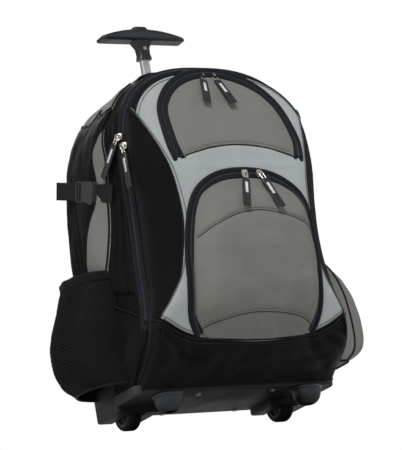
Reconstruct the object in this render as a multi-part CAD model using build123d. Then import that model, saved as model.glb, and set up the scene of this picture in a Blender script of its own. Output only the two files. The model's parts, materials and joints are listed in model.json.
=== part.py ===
"""Wheeled backpack-style laptop bag with a telescoping pull handle, built piece by piece.

Frame: +Z up, the front pockets face -Y, the pole and wheels are at the back (+Y).
The origin is on the floor, under the middle of the whole object. Millimetres.
"""
import os
from math import cos, radians, sin

from build123d import *

# ---- driving dimensions ------------------------------------------------------
BACK_Y = 135.75           # back face of the padded back panel
SHELL_BACK_Y = 126.0      # back face of the fabric shell, under the padding
WALL = 3.0                # fabric with its foam backing
GAP = 0.3                 # clearance between fabric pieces

# bag outline: height, half width, front face, corner radius
BAG_SECTIONS = [
    (40.0, 158.0, -1.5, 32.0),
    (62.0, 159.0, -35.5, 36.0),
    (85.0, 158.5, -51.5, 40.0),
    (135.0, 157.5, -76.5, 42.0),
    (200.0, 156.0, -91.5, 42.0),
    (255.0, 156.0, -101.0, 42.0),
    (320.0, 156.0, -99.5, 42.0),
    (356.0, 155.0, -91.5, 42.0),
    (403.0, 145.0, -70.0, 40.0),
    (425.0, 133.0, -64.0, 38.0),
    (445.0, 115.0, -60.0, 36.0),
    (462.0, 92.0, -56.0, 32.0),
    (475.0, 66.0, -52.5, 28.0),
    (484.0, 44.0, -47.0, 24.0),
    (490.0, 27.0, -36.0, 20.0),
]
BOOT_TOP = 82.0           # top edge of the black lower boot
MAIN_ZIP_Y = -44.0        # plane of the main zipper
MAIN_ZIP_HALF = 6.5

# lower pocket bulge: height, half width, front face, corner radius
LOWER_POCKET = [
    (84.0, 76.0, -66.0, 30.0),
    (114.0, 86.0, -106.0, 40.0),
    (160.0, 89.0, -122.0, 42.0),
    (200.0, 88.0, -130.0, 42.0),
    (239.0, 81.0, -131.0, 42.0),
    (270.0, 64.0, -121.0, 36.0),
    (288.0, 45.0, -111.0, 28.0),
    (294.0, 26.0, -106.0, 20.0),
]
# top pocket bulge, the same way
TOP_POCKET = [
    (335.0, 82.0, -103.0, 20.0),
    (356.0, 89.0, -104.0, 20.0),
    (403.0, 83.0, -88.0, 20.0),
    (430.0, 65.0, -78.0, 20.0),
    (447.0, 48.0, -70.0, 18.0),
    (458.0, 24.0, -61.0, 12.0),
]
# zipper outlines on the front, right half, from the bottom to the top centre
LOWER_ZIP = [(88.0, 84.0), (102.0, 135.0), (100.0, 200.0), (91.0, 255.0), (75.0, 280.0), (42.0, 301.0)]
LOWER_ZIP_TOP = 307.0
TOP_ZIP = [(98.0, 326.0), (103.0, 356.0), (97.0, 403.0), (82.0, 430.0), (62.0, 451.0), (34.0, 466.0)]
TOP_ZIP_TOP = 471.0
ZIP_BAND = 8.0            # width of a front zipper

# side pockets: height and how far they stand out from the middle
POCKET_Y = (28.0, 124.0)
MESH_POCKET = [(47.0, 206.0), (58.0, 230.0), (80.0, 240.0), (110.0, 241.0), (139.0, 234.0), (170.0, 220.0),
               (202.0, 206.0)]
BAND_TOP = 210.0
SIDE_POCKET = [(66.0, 202.0), (75.0, 226.0), (90.0, 238.0), (116.0, 241.0), (147.0, 238.0), (174.0, 228.0),
               (198.0, 209.0), (214.0, 188.0), (224.0, 168.0)]
MESH_WALL = 2.2

HANDLE_Y = (48.0, 72.0)
HANDLE_TOP = 514.0

# wheels and base
WHEEL_R = 26.0
WHEEL_W = 20.0
WHEEL_X = 125.0
WHEEL_Y = 106.5
RIM_R = 19.5
HUB_BORE_R = 6.0
BUSH_R = 4.05             # running fit on the axle
AXLE_R = 4.0
HOUSING_X = (90.0, 161.0)
HOUSING_Y = (70.0, 135.7)
HOUSING_Z = (17.0, 60.0)
TRAY_Z = (26.0, 40.0)
TRAY_Y = (0.5, 135.5)
TRAY_HALF = 162.5
TRAY_WALL = 3.0
FOOT_X = 112.0
FOOT_Y = (-3.0, 34.0)

# pull handle
POLE_Y = 102.5
INNER = (14.0, 9.0)
INNER_BORE = (11.4, 6.4)
MIDDLE = (17.6, 12.6)
MIDDLE_BORE = (15.0, 10.0)
OUTER = (21.2, 16.2)
OUTER_BORE = (18.6, 13.6)
OUTER_Z = (36.0, 486.0)
MIDDLE_Z = (60.0, 501.0)
INNER_Z = (150.0, 566.0)
GRIP_HALF = 70.0
GRIP_UNDER = 583.0
GRIP_TOP = 601.0
GRIP_DEPTH = 25.0
NECK_BOTTOM = 555.0
BUTTON_Z = (592.0, 607.0)
SPRING_Z = (577.0, 591.8)
ROD_R = 1.9
PIN_Z = 164.0
PIN_R = 2.0

os.makedirs("parts", exist_ok=True)


def save(shape, name):
    shape.label = name
    export_step(shape, f"parts/{name}.step")


def block(x, y, z):
    """A box from its lowest to its highest x, y and z."""
    centre = Pos((x[0] + x[1]) / 2, (y[0] + y[1]) / 2, (z[0] + z[1]) / 2)
    return centre * Box(x[1] - x[0], y[1] - y[0], z[1] - z[0])


def mirrored(shape):
    return mirror(shape, about=Plane.YZ)


def rounded_tube(outer, bore, z):
    """A rectangular tube of rounded section standing on the pole's axis."""
    section = RectangleRounded(outer[0], outer[1], 2.2) - RectangleRounded(bore[0], bore[1], 1.2)
    return Pos(0, POLE_Y, z[0]) * extrude(section, z[1] - z[0])


def section_loft(rows, back, inset=0.0):
    """A ruled loft of rounded rectangles that reach from each front face to one back plane."""
    faces = []
    last = len(rows) - 1
    for index, (height, half, front, radius) in enumerate(rows):
        lift = inset if index == 0 else (-inset if index == last else 0.0)
        depth = (back - inset) - (front + inset)
        centre_y = (back + front) / 2
        sketch = RectangleRounded(2 * (half - inset), depth, max(radius - inset, 2.0))
        faces.append(Pos(0, centre_y, height + lift) * sketch)
    return loft(faces, ruled=True)


EVERYWHERE = 600.0
# plan of the slanted flanks: (x, y) from the back, and how far out they stand at each height
FLANK = ((160.0, 36.0), (140.0, -31.0), (83.5, -140.0))
FLANK_OUT = ((90.0, 18.0), (190.0, 0.0), (275.0, 0.0), (400.0, 16.0), (600.0, 60.0))


def flank_cut(inset):
    """What the slanted flank takes off the bag's +X front corner."""
    faces = []
    for height, out in FLANK_OUT:
        line = [(x + out - 1.1 * inset, y) for x, y in FLANK]
        corners = line + [(EVERYWHERE, FLANK[-1][1]), (EVERYWHERE, FLANK[0][1])]
        faces.append(Pos(0, 0, height) * make_face(Polyline(*corners, close=True)))
    return loft(faces, ruled=True)


def bag(inset=0.0):
    cut = flank_cut(inset)
    return section_loft(BAG_SECTIONS, SHELL_BACK_Y, inset) - cut - mirrored(cut)


BAG = bag()
BAG_LINER = bag(WALL)
BAG_CLEAR = bag(-GAP)
TUBE_HOLE = block((-11.5, 11.5), (POLE_Y - 9, POLE_Y + 9), (30, 100))
COLLAR_HOLE = block((-20.3, 20.3), (POLE_Y - 14.3, POLE_Y + 14.3), (468, 520))


def wheel_wells():
    box = block((HOUSING_X[0] - 0.2, 170), (HOUSING_Y[0] - 0.2, 140), (0, HOUSING_Z[1] + 0.2))
    return box + mirrored(box)


# ---- soft body ---------------------------------------------------------------
def shell_between(y, z):
    """The bag's wall with its own closing walls, between two depths and two heights."""
    outside = BAG & block((-EVERYWHERE, EVERYWHERE), y, z)
    inside = BAG_LINER & block((-EVERYWHERE, EVERYWHERE), (y[0] + WALL, y[1] - WALL), (z[0] + WALL, z[1] - WALL))
    return outside - inside


def rear_shell():
    shell = shell_between((MAIN_ZIP_Y + MAIN_ZIP_HALF, EVERYWHERE), (BOOT_TOP, EVERYWHERE))
    return shell - TUBE_HOLE - COLLAR_HOLE


def front_shell():
    return shell_between((-EVERYWHERE, MAIN_ZIP_Y - MAIN_ZIP_HALF), (BOOT_TOP, EVERYWHERE))


def main_zipper():
    """The zipper band that joins the two compartments, all round above the boot."""
    proud = bag(-1.2) & block((-EVERYWHERE, EVERYWHERE), (-EVERYWHERE, EVERYWHERE), (150, EVERYWHERE))
    band = block((-EVERYWHERE, EVERYWHERE), (MAIN_ZIP_Y - MAIN_ZIP_HALF + 0.1, MAIN_ZIP_Y + MAIN_ZIP_HALF - 0.1),
                 (BOOT_TOP + 0.1, EVERYWHERE))
    return ((BAG + proud) & band) - BAG_LINER


def boot():
    outside = BAG & block((-EVERYWHERE, EVERYWHERE), (-EVERYWHERE, EVERYWHERE), (0, BOOT_TOP - 0.2))
    inside = BAG_LINER & block((-EVERYWHERE, EVERYWHERE), (-EVERYWHERE, EVERYWHERE), (0, BOOT_TOP + 10))
    foot_hole = block((-24, 24), (POLE_Y - 16, POLE_Y + 16), (30, 50))
    return outside - inside - foot_hole - wheel_wells()


def wing(side):
    """A compression panel that lies over one side of the rear compartment."""
    skin = bag(-3.0) - BAG_CLEAR
    area = block((-200, -100), (8, 112), (216, 425))
    left = skin & area
    return left if side < 0 else mirrored(left)


def pocket(rows, clear_back):
    outside = section_loft(rows, clear_back) - BAG_CLEAR
    inside = section_loft(rows, clear_back + WALL, WALL) - bag(-GAP - WALL)
    return outside - inside


def outline(half, top, shrink):
    """A closed zipper outline, its right half given from the bottom up, moved inwards by shrink."""
    right = [(x - shrink, z + (shrink if i == 0 else -shrink * (z - half[0][1]) / (top - half[0][1])))
             for i, (x, z) in enumerate(half)]
    left = [(-x, z) for x, z in right]
    points = right + [(0.0, top - shrink)] + left[::-1]
    face = make_face(Polyline(*points, close=True))
    return extrude(Plane.XZ * face, EVERYWHERE)


def front_zipper(half, top):
    skin = bag(-1.6) - BAG_CLEAR
    ring = outline(half, top, 0.0) - outline(half, top, ZIP_BAND)
    cut = block((-EVERYWHERE, EVERYWHERE), (-EVERYWHERE, -30), (half[0][1] + ZIP_BAND, EVERYWHERE))
    return skin & ring & cut


def side_bulge(rows, reach, inset=0.0):
    """A side pocket's outer form on the +X side, lofted upwards."""
    faces = []
    for height, out in rows:
        width = out - inset - 140
        depth = POCKET_Y[1] - POCKET_Y[0] - 2 * inset
        sketch = RectangleRounded(width, depth, 9.0)
        faces.append(Pos(140 + width / 2, (POCKET_Y[0] + POCKET_Y[1]) / 2, height) * sketch)
    return loft(faces, ruled=True) & block((100, 300), (0, 200), reach)


SIDE_CLEAR = bag(-3.4)


def mesh_pocket():
    outside = side_bulge(MESH_POCKET, (0, 300))
    inner_rows = [(z + (MESH_WALL if i == 0 else 0), x) for i, (z, x) in enumerate(MESH_POCKET)]
    inner_rows[-1] = (MESH_POCKET[-1][0] + 4, MESH_POCKET[-1][1])
    inside = side_bulge(inner_rows, (0, 300), MESH_WALL)
    corner = block((0, HOUSING_X[1] + 0.4), (HOUSING_Y[0] - 0.4, 140), (0, HOUSING_Z[1] + 0.4))
    return mirrored(outside - inside - SIDE_CLEAR - corner)


def mesh_band():
    """The elastic hem round the mouth of the mesh pocket."""
    out = MESH_POCKET[-1][1]
    z = (MESH_POCKET[-1][0] + 0.2, BAND_TOP)
    outside = side_bulge([(z[0], out), (z[1], out)], (0, 300))
    inside = side_bulge([(z[0] - 1, out), (z[1] + 1, out)], (0, 300), MESH_WALL)
    return mirrored(outside - inside - SIDE_CLEAR)


def side_pocket():
    outside = side_bulge(SIDE_POCKET, (0, 300))
    inner_rows = [(z, x - WALL) for z, x in SIDE_POCKET]
    inner_rows[0] = (SIDE_POCKET[0][0] + WALL, SIDE_POCKET[0][1] - WALL)
    inner_rows[-1] = (SIDE_POCKET[-1][0] - WALL, SIDE_POCKET[-1][1] - 2 * WALL)
    inside = side_bulge(inner_rows, (0, 300), WALL) - bag(-3.4 - WALL)
    return outside - inside - SIDE_CLEAR


def pad(x_half, z, y):
    slab = block((-x_half, x_half), y, z)
    slab = fillet(slab.edges().filter_by(Axis.Y), 22.0)
    return fillet(slab.faces().sort_by(Axis.Y)[-1].edges(), 4.0)


def grab_handle():
    """A low webbing loop sewn across the top, just in front of the pole."""
    foot, half, web = 479.0, 62.0, 4.5
    outer = ThreePointArc((-half, foot), (0, HANDLE_TOP), (half, foot))
    inner = ThreePointArc((half - web, foot), (0, HANDLE_TOP - web), (web - half, foot))
    ends = [Line((half, foot), (half - web, foot)), Line((web - half, foot), (-half, foot))]
    return extrude(Plane.XZ.offset(-HANDLE_Y[1]) * make_face([outer, ends[0], inner, ends[1]]),
                   HANDLE_Y[1] - HANDLE_Y[0])


# ---- inside ------------------------------------------------------------------
def board(x_half, y, z):
    slab = block((-x_half, x_half), y, z)
    return fillet(slab.edges().filter_by(Axis.Y), 18.0)


# ---- base --------------------------------------------------------------------
SCREW_PLACES = [(-60.0, 18.0), (60.0, 18.0), (-60.0, 124.0), (60.0, 124.0)]
SCREW_R = 1.8


def base_tray():
    body = block((-TRAY_HALF, TRAY_HALF), TRAY_Y, TRAY_Z)
    body = fillet(body.edges().filter_by(Axis.Z), 24.0)
    body = fillet(body.faces().sort_by(Axis.Z)[0].edges(), 2.5)
    hollow = block((-TRAY_HALF + TRAY_WALL, TRAY_HALF - TRAY_WALL), (TRAY_Y[0] + TRAY_WALL, TRAY_Y[1] - TRAY_WALL),
                   (TRAY_Z[0] + TRAY_WALL, 60))
    hollow = fillet(hollow.edges().filter_by(Axis.Z), 21.0)
    body = body - hollow - wheel_wells()
    for x, y in SCREW_PLACES:
        body = body + Pos(x, y, (TRAY_Z[0] + TRAY_Z[1]) / 2) * Cylinder(5.0, TRAY_Z[1] - TRAY_Z[0] - 0.4)
    for x, y in SCREW_PLACES:
        body = body - Pos(x, y, 30.0) * Cylinder(SCREW_R, 13.0)
    return body


def base_screws():
    screws = []
    for x, y in SCREW_PLACES:
        head = Pos(x, y, TRAY_Z[0] - 1.2) * Cylinder(4.0, 2.2)
        shank = Pos(x, y, 30.0) * Cylinder(SCREW_R, 12.6)
        slot = Pos(x, y, TRAY_Z[0] - 2.2) * Box(5.0, 1.0, 1.2)
        screws.append(head + shank - slot)
    return Compound(screws)


def housing():
    body = block(HOUSING_X, HOUSING_Y, HOUSING_Z)
    body = fillet(body.edges().filter_by(Axis.Z), 6.0)
    body = fillet(body.faces().sort_by(Axis.Z)[0].edges(), 3.0)
    half = WHEEL_W / 2 + 2.5
    body = body - block((WHEEL_X - half, WHEEL_X + half), (HOUSING_Y[0] + 5, 150), (0, HOUSING_Z[1] - 4))
    body = body - Pos(WHEEL_X, WHEEL_Y, WHEEL_R) * Rot(0, 90, 0) * Cylinder(AXLE_R, 40.0)
    return body


def along_x(shape):
    return Pos(WHEEL_X, WHEEL_Y, WHEEL_R) * Rot(0, 90, 0) * shape


def axle():
    shaft = along_x(Cylinder(AXLE_R, 39.6))
    return shaft


def tyre():
    ring = Cylinder(WHEEL_R, WHEEL_W)
    ring = fillet(ring.edges(), 4.5)
    groove = Cylinder(WHEEL_R + 1, 1.6) - Cylinder(WHEEL_R - 1.0, 1.6)
    return along_x(ring - groove - Cylinder(RIM_R, WHEEL_W + 2))


def hub():
    body = Cylinder(RIM_R, WHEEL_W - 1.0) - Cylinder(HUB_BORE_R, WHEEL_W)
    dish = Cylinder(RIM_R - 3.0, 4.0) - Cylinder(HUB_BORE_R + 3.0, 4.0)
    body = body - Pos(0, 0, WHEEL_W / 2 - 1.5) * dish - Pos(0, 0, -WHEEL_W / 2 + 1.5) * dish
    holes = PolarLocations(12.75, 6) * Cylinder(2.0, WHEEL_W)
    return along_x(body - holes)


def bushings():
    ring = Cylinder(HUB_BORE_R, 6.0) - Cylinder(BUSH_R, 6.0)
    flange = Cylinder(HUB_BORE_R + 1.5, 1.0) - Cylinder(BUSH_R, 1.0)
    one = Pos(0, 0, (WHEEL_W - 1.0) / 2 - 3.0) * ring + Pos(0, 0, (WHEEL_W - 1.0) / 2 + 0.5) * flange
    other = mirror(one, about=Plane.XY)
    return Compound([along_x(one), along_x(other)])


def front_foot():
    """A ribbed block with a domed toe and a lip that sits under the tray's front corner."""
    body = block((FOOT_X - 21, FOOT_X + 21), FOOT_Y, (0, TRAY_Z[0] - 0.2))
    body = fillet(body.edges().filter_by(Axis.Z), 9.0)
    body = fillet(body.faces().sort_by(Axis.Z)[0].edges(), 5.0)
    for height in (7.0, 13.0):
        ring = block((FOOT_X - 30, FOOT_X + 30), (FOOT_Y[0] - 9, FOOT_Y[1] + 9), (height, height + 1.4))
        core = block((FOOT_X - 19.8, FOOT_X + 19.8), (FOOT_Y[0] + 1.2, FOOT_Y[1] - 1.2), (height, height + 1.4))
        body = body - (ring - core)
    toe = Pos(FOOT_X, FOOT_Y[0] + 8, 18.5) * Sphere(15.5)
    toe = toe & block((FOOT_X - 20, FOOT_X + 20), (FOOT_Y[0] - 20, FOOT_Y[0] + 8), (5, TRAY_Z[0] - 0.2))
    return body + toe


# ---- pull handle -------------------------------------------------------------
def pole_foot():
    body = block((-22, 22), (POLE_Y - 14, POLE_Y + 14), (TRAY_Z[0] + TRAY_WALL + 0.1, 62))
    body = fillet(body.edges().filter_by(Axis.Z), 4.0)
    socket = Pos(0, POLE_Y, OUTER_Z[0]) * extrude(RectangleRounded(OUTER[0], OUTER[1], 2.2), 60)
    return body - socket


def pole_collar():
    body = block((-20, 20), (POLE_Y - 14, POLE_Y + 14), (470, 490.6))
    body = fillet(body.edges().filter_by(Axis.Z), 5.0)
    flange = Pos(0, POLE_Y, 490.6) * extrude(RectangleRounded(48, 36, 9.0), 5.0)
    flange = chamfer(flange.faces().sort_by(Axis.Z)[-1].edges(), 1.5)
    seat = Pos(0, POLE_Y, 460) * extrude(RectangleRounded(OUTER[0], OUTER[1], 2.2), OUTER_Z[1] - 460)
    mouth = Pos(0, POLE_Y, OUTER_Z[1] - 1) * extrude(RectangleRounded(18.2, 13.2, 2.0), 20)
    return body + flange - seat - mouth


def middle_guide():
    low = 496.0
    body = Pos(0, POLE_Y, low) * extrude(RectangleRounded(24.0, 19.0, 4.0), 10.0)
    body = chamfer(body.faces().sort_by(Axis.Z)[-1].edges(), 1.2)
    seat = Pos(0, POLE_Y, low - 1) * extrude(RectangleRounded(MIDDLE[0], MIDDLE[1], 2.2), MIDDLE_Z[1] - low + 1)
    bore = Pos(0, POLE_Y, low) * extrude(RectangleRounded(14.5, 9.5, 2.2), 20)
    return body - seat - bore


def inner_tube():
    tube = rounded_tube(INNER, INNER_BORE, INNER_Z)
    return tube - Pos(4, POLE_Y, PIN_Z) * Rot(0, 90, 0) * Cylinder(PIN_R + 0.3, 8)


def foot_plug():
    """The plug in the inner tube's foot, which guides the lock pin."""
    body = Pos(0, POLE_Y, INNER_Z[0]) * extrude(RectangleRounded(INNER_BORE[0], INNER_BORE[1], 1.2), 22)
    body = body - Pos(1.35, POLE_Y, PIN_Z) * Rot(0, 90, 0) * Cylinder(PIN_R + 0.05, 8.8)
    rod_hole = Pos(0, POLE_Y, PIN_Z + 7) * Cylinder(ROD_R + 0.2, 14)
    return body - rod_hole


def lock_pin():
    """The pin sits flush with the tube between two lock holes."""
    return Pos(3.15, POLE_Y, PIN_Z) * Rot(0, 90, 0) * Cylinder(PIN_R, 7.3)


def grip():
    """The T-grip: an arched cross bar that narrows into a neck round the pole."""
    top = Spline((-GRIP_HALF + 2, GRIP_UNDER + 6), (-40, GRIP_TOP - 4), (0, GRIP_TOP), (40, GRIP_TOP - 4),
                 (GRIP_HALF - 2, GRIP_UNDER + 6))
    tip_right = ThreePointArc((GRIP_HALF - 2, GRIP_UNDER + 6), (GRIP_HALF, GRIP_UNDER + 2.5),
                              (GRIP_HALF - 3, GRIP_UNDER))
    tip_left = ThreePointArc((-GRIP_HALF + 3, GRIP_UNDER), (-GRIP_HALF, GRIP_UNDER + 2.5),
                             (-GRIP_HALF + 2, GRIP_UNDER + 6))
    under = Line((GRIP_HALF - 3, GRIP_UNDER), (-GRIP_HALF + 3, GRIP_UNDER))
    bar = extrude(Plane.XZ.offset(-POLE_Y) * make_face([top, tip_right, under, tip_left]), GRIP_DEPTH / 2, both=True)
    bar = fillet(bar.edges().filter_by(lambda e: e.length > 60), 5.0)
    neck = loft([
        Pos(0, POLE_Y, NECK_BOTTOM) * RectangleRounded(22.0, 16.0, 4.0),
        Pos(0, POLE_Y, NECK_BOTTOM + 8) * RectangleRounded(19.0, 14.5, 4.0),
        Pos(0, POLE_Y, GRIP_UNDER - 10) * RectangleRounded(20.0, 15.5, 4.0),
        Pos(0, POLE_Y, GRIP_UNDER + 1) * RectangleRounded(32.0, 20.0, 4.0),
    ], ruled=True)
    body = bar + neck
    body = body - Pos(0, POLE_Y, NECK_BOTTOM - 1) * extrude(RectangleRounded(INNER[0], INNER[1], 2.2),
                                                           INNER_Z[1] - NECK_BOTTOM + 1)
    well = Pos(0, POLE_Y, BUTTON_Z[0] - 4.6) * extrude(RectangleRounded(27.0, 17.0, 8.0), 30)
    spring_well = Pos(0, POLE_Y, SPRING_Z[0]) * extrude(Circle(5.5), 20)
    rod_way = Pos(0, POLE_Y, INNER_Z[1] - 2) * extrude(Circle(ROD_R + 0.4), 30)
    screw_way = Pos(0, POLE_Y, 571) * Rot(90, 0, 0) * Cylinder(1.6, 40)
    head_way = Pos(0, POLE_Y - 9, 571) * Rot(90, 0, 0) * Cylinder(3.2, 4.4)
    return body - well - spring_well - rod_way - screw_way - head_way


def grip_screw():
    """A screw through the neck from the front; its head is sunk in the neck."""
    head = Pos(0, POLE_Y - 7.9, 571) * Rot(90, 0, 0) * Cylinder(3.1, 1.8)
    shank = Pos(0, POLE_Y - 5.5, 571) * Rot(90, 0, 0) * Cylinder(1.55, 3.0)
    return head + shank


def button():
    cap = Pos(0, POLE_Y, BUTTON_Z[0]) * extrude(RectangleRounded(26.4, 16.4, 7.8), BUTTON_Z[1] - BUTTON_Z[0])
    cap = fillet(cap.faces().sort_by(Axis.Z)[-1].edges(), 5.5)
    return cap


def release_rod():
    bottom = PIN_Z + PIN_R + 5.2
    return Pos(0, POLE_Y, bottom) * extrude(Circle(ROD_R), BUTTON_Z[0] - 0.05 - bottom)


def button_spring():
    """The button's return spring, wound round the release rod."""
    ring = Circle(4.6) - Circle(3.0)
    turns = []
    pitch = 2.4
    for index in range(6):
        turns.append(Pos(0, POLE_Y, SPRING_Z[0] + 0.2 + index * pitch) * extrude(ring, 1.0))
    posts = Pos(3.8, POLE_Y, SPRING_Z[0] + 0.2) * extrude(Rectangle(0.9, 1.2), 5 * pitch + 1.0)
    spring = posts
    for turn in turns:
        spring = spring + turn
    return spring


# ---- compression straps ------------------------------------------------------
STRAP_SLOPE = 21.0
STRAP_CENTRE = (-166.5, 48.0, 330.0)
WEB = 25.0
WEB_T = 1.6


def on_strap(shape):
    """Place a piece made in strap axes: +X along the strap to the back, +Y up, +Z outwards."""
    plane = Plane(origin=STRAP_CENTRE, x_dir=(0, cos(radians(STRAP_SLOPE)), sin(radians(STRAP_SLOPE))),
                  z_dir=(-1, 0, 0))
    return plane * shape


def buckle_socket():
    body = Box(30, 32, 9)
    body = fillet(body.edges().filter_by(Axis.Z), 6.0)
    body = body - Pos(3, 0, 0) * Box(27, 25, 5)
    side_slots = Pos(2, 14, 0) * Box(12, 8, 5.0) + Pos(2, -14, 0) * Box(12, 8, 5.0)
    return on_strap(Pos(-15, 0, 0) * (body - side_slots))


def buckle_plug():
    base = Pos(11.3, 0, 0) * Box(22, 30, 7)
    base = fillet(base.edges().filter_by(Axis.Z), 4.0)
    base = base - Pos(8.5, 0, 0) * Box(4.0, 26, 9) - Pos(16.5, 0, 0) * Box(4.0, 26, 9)
    prongs = Pos(-8, 8.5, 0) * Box(17, 4.0, 4.0) + Pos(-8, -8.5, 0) * Box(17, 4.0, 4.0)
    guide = Pos(-6, 0, 0) * Box(13, 3.0, 4.0)
    link = Pos(0.3, 0, 0) * Box(1.2, 21.0, 4.0)
    return on_strap(base + prongs + guide + link)


def strap_webbing():
    """The sewn-down stretches of one compression strap, ahead of the buckle and behind it."""
    front = on_strap(Pos(-30.2, 0, -3.4) * Rot(0, -12, 0) * Pos(-32, 0, 0) * Box(64, WEB, WEB_T))
    rear = on_strap(Pos(13.0 + 22, 0, -4.6) * Box(44, WEB, WEB_T))
    return Compound([front, rear])


def strap_tail():
    """The loose end of the webbing, which stands out behind the buckle."""
    tail = Pos(17, 0, 0) * Box(34, WEB, WEB_T)
    return on_strap(Pos(22.9, 0, 2.6) * Rot(0, -24, 0) * tail)


# ---- zipper sliders and pulls ------------------------------------------------
PULL_LENGTH = 64.0
PULL_WIDTH = 12.0
PULL_THICK = 2.6
LINK_LENGTH = 13.0
LINK_WINDOW = 3.6
CROSSBAR_R = 1.0
BRIDGE = 5.2
BRIDGE_BORE = 2.8
BRIDGE_WIDTH = 3.0
FRONT = (0.0, -1.0, 0.0)
LEFT = (-1.0, 0.0, 0.0)
LOWER_SLIDERS = [(0.0, -105.4, 303.0), (24.0, -105.4, 303.0)]
TOP_SLIDERS = [(-10.0, -58.8, 466.0), (8.0, -58.8, 466.0)]
MAIN_SLIDERS = [(-151.3, -44.8, 378.0), (-147.8, -47.9, 364.0)]
# pull name: pivot, the point its free end hangs towards, and the side it faces
PULLS = {
    "lower_pull_left": ((0.0, -109.8, 303.0), (-26.0, -137.0, 240.0), FRONT),
    "lower_pull_right": ((24.0, -109.8, 303.0), (33.0, -137.0, 240.0), FRONT),
    "top_pull_left": ((-10.0, -62.5, 465.0), (-33.0, -99.0, 408.0), FRONT),
    "top_pull_right": ((8.0, -62.5, 465.0), (11.0, -99.0, 408.0), FRONT),
    "main_pull_rear": ((-155.7, -47.1, 378.0), (-164.0, -5.0, 333.0), LEFT),
    "main_pull_front": ((-151.7, -49.9, 364.0), (-155.4, -57.0, 290.0), LEFT),
}


def pull_plane(pivot, end, outward):
    """The pull's own plane at its pivot: x runs down the pull, z faces away from the cloth."""
    direction = (Vector(*end) - Vector(*pivot)).normalized()
    across = Vector(*outward).cross(direction).normalized()
    return Plane(origin=pivot, x_dir=direction, z_dir=direction.cross(across))


def slider_pair(places, facing, pulls):
    """Two sliders on one zipper, each with a bridge round its pull's crossbar."""
    bodies = []
    for place, name in zip(places, pulls):
        body = Box(9.0, 11.0, 3.6)
        body = fillet(body.edges().filter_by(Axis.Z), 2.5)
        bridge = Box(BRIDGE, BRIDGE_WIDTH, BRIDGE) - Box(BRIDGE_BORE, 10.0, BRIDGE_BORE)
        post = Pos(0, 0, -3.2) * Box(BRIDGE, BRIDGE_WIDTH, 2.4)
        bodies.append(Pos(*place) * facing * body + pull_plane(*PULLS[name]) * (bridge + post))
    return Compound(bodies)


def pull(pivot, end, outward):
    """A pull from its pivot to its free end: a wire link on a round crossbar, and a moulded tab."""
    crossbar = Rot(90, 0, 0) * Cylinder(CROSSBAR_R, 7.0)
    window = Pos(LINK_LENGTH / 2 - 2.0, 0, 0) * Box(LINK_LENGTH, LINK_WINDOW, 2.0)
    link = Pos(LINK_LENGTH / 2, 0, 0) * Box(LINK_LENGTH, 7.0, 1.6) - window
    tab_length = PULL_LENGTH - LINK_LENGTH
    tab = Pos(LINK_LENGTH - 1.0 + tab_length / 2, 0, 0) * Box(tab_length, PULL_WIDTH, PULL_THICK)
    tab = fillet(tab.edges().filter_by(Axis.Z), 2.5)
    return pull_plane(pivot, end, outward) * (crossbar + link + tab)


# ---- write every piece -------------------------------------------------------
save(rear_shell(), "rear_compartment")
save(front_shell(), "front_compartment")
save(main_zipper(), "main_zipper")
save(boot(), "lower_boot")
save(wing(-1), "wing_left")
save(wing(1), "wing_right")
save(pocket(LOWER_POCKET, 20.0), "lower_pocket")
save(pocket(TOP_POCKET, 20.0), "top_pocket")
save(front_zipper(LOWER_ZIP, LOWER_ZIP_TOP), "lower_zipper")
save(front_zipper(TOP_ZIP, TOP_ZIP_TOP), "top_zipper")
save(mesh_pocket(), "mesh_pocket")
save(mesh_band(), "mesh_pocket_hem")
save(side_pocket(), "side_pocket")
save(pad(112.0, (96.0, 246.0), (SHELL_BACK_Y + GAP, BACK_Y)), "back_pad")
save(pad(112.0, (254.0, 432.0), (SHELL_BACK_Y + GAP, BACK_Y - 1.5)), "strap_cover")
save(grab_handle(), "grab_handle")
save(board(116.0, (116.0, 118.4), (88.0, 424.0)), "frame_board")
save(board(130.0, (80.0, 85.0), (88.0, 380.0)), "laptop_sleeve")

save(base_tray(), "base_tray")
save(base_screws(), "base_screws")
for side, turn in (("right", lambda shape: shape), ("left", mirrored)):
    save(turn(housing()), f"wheel_housing_{side}")
    save(turn(tyre()), f"tyre_{side}")
    save(turn(hub()), f"hub_{side}")
    save(turn(bushings()), f"bushings_{side}")
save(Compound([axle(), mirrored(axle())]), "axles")
save(Compound([front_foot(), mirrored(front_foot())]), "front_feet")

save(pole_foot(), "pole_foot")
save(pole_collar(), "pole_collar")
save(rounded_tube(OUTER, OUTER_BORE, OUTER_Z), "outer_tube")
save(rounded_tube(MIDDLE, MIDDLE_BORE, MIDDLE_Z), "middle_tube")
save(middle_guide(), "middle_guide")
save(inner_tube(), "inner_tube")
save(foot_plug(), "foot_plug")
save(lock_pin(), "lock_pin")
save(grip(), "grip")
save(grip_screw(), "grip_screw")
save(button(), "push_button")
save(release_rod(), "release_rod")
save(button_spring(), "button_spring")

for side, turn in (("left", lambda shape: shape), ("right", mirrored)):
    save(turn(buckle_socket()), f"buckle_socket_{side}")
    save(turn(buckle_plug()), f"buckle_plug_{side}")
    save(turn(strap_webbing()), f"strap_webbing_{side}")
    save(turn(strap_tail()), f"strap_tail_{side}")

lower_names = ("lower_pull_left", "lower_pull_right")
top_names = ("top_pull_left", "top_pull_right")
main_names = ("main_pull_rear", "main_pull_front")
save(slider_pair(LOWER_SLIDERS, Rot(90, 0, 0), lower_names), "lower_sliders")
save(slider_pair(TOP_SLIDERS, Rot(75, 0, 0), top_names), "top_sliders")
save(slider_pair(MAIN_SLIDERS, Rot(0, 0, 27) * Rot(0, -90, 0), main_names), "main_sliders")
for name, (pivot, end, outward) in PULLS.items():
    save(pull(pivot, end, outward), name)
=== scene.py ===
import json
import math

import bmesh
import bpy
import numpy as np
from mathutils import Matrix, Vector, geometry, noise
from mathutils.bvhtree import BVHTree


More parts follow.
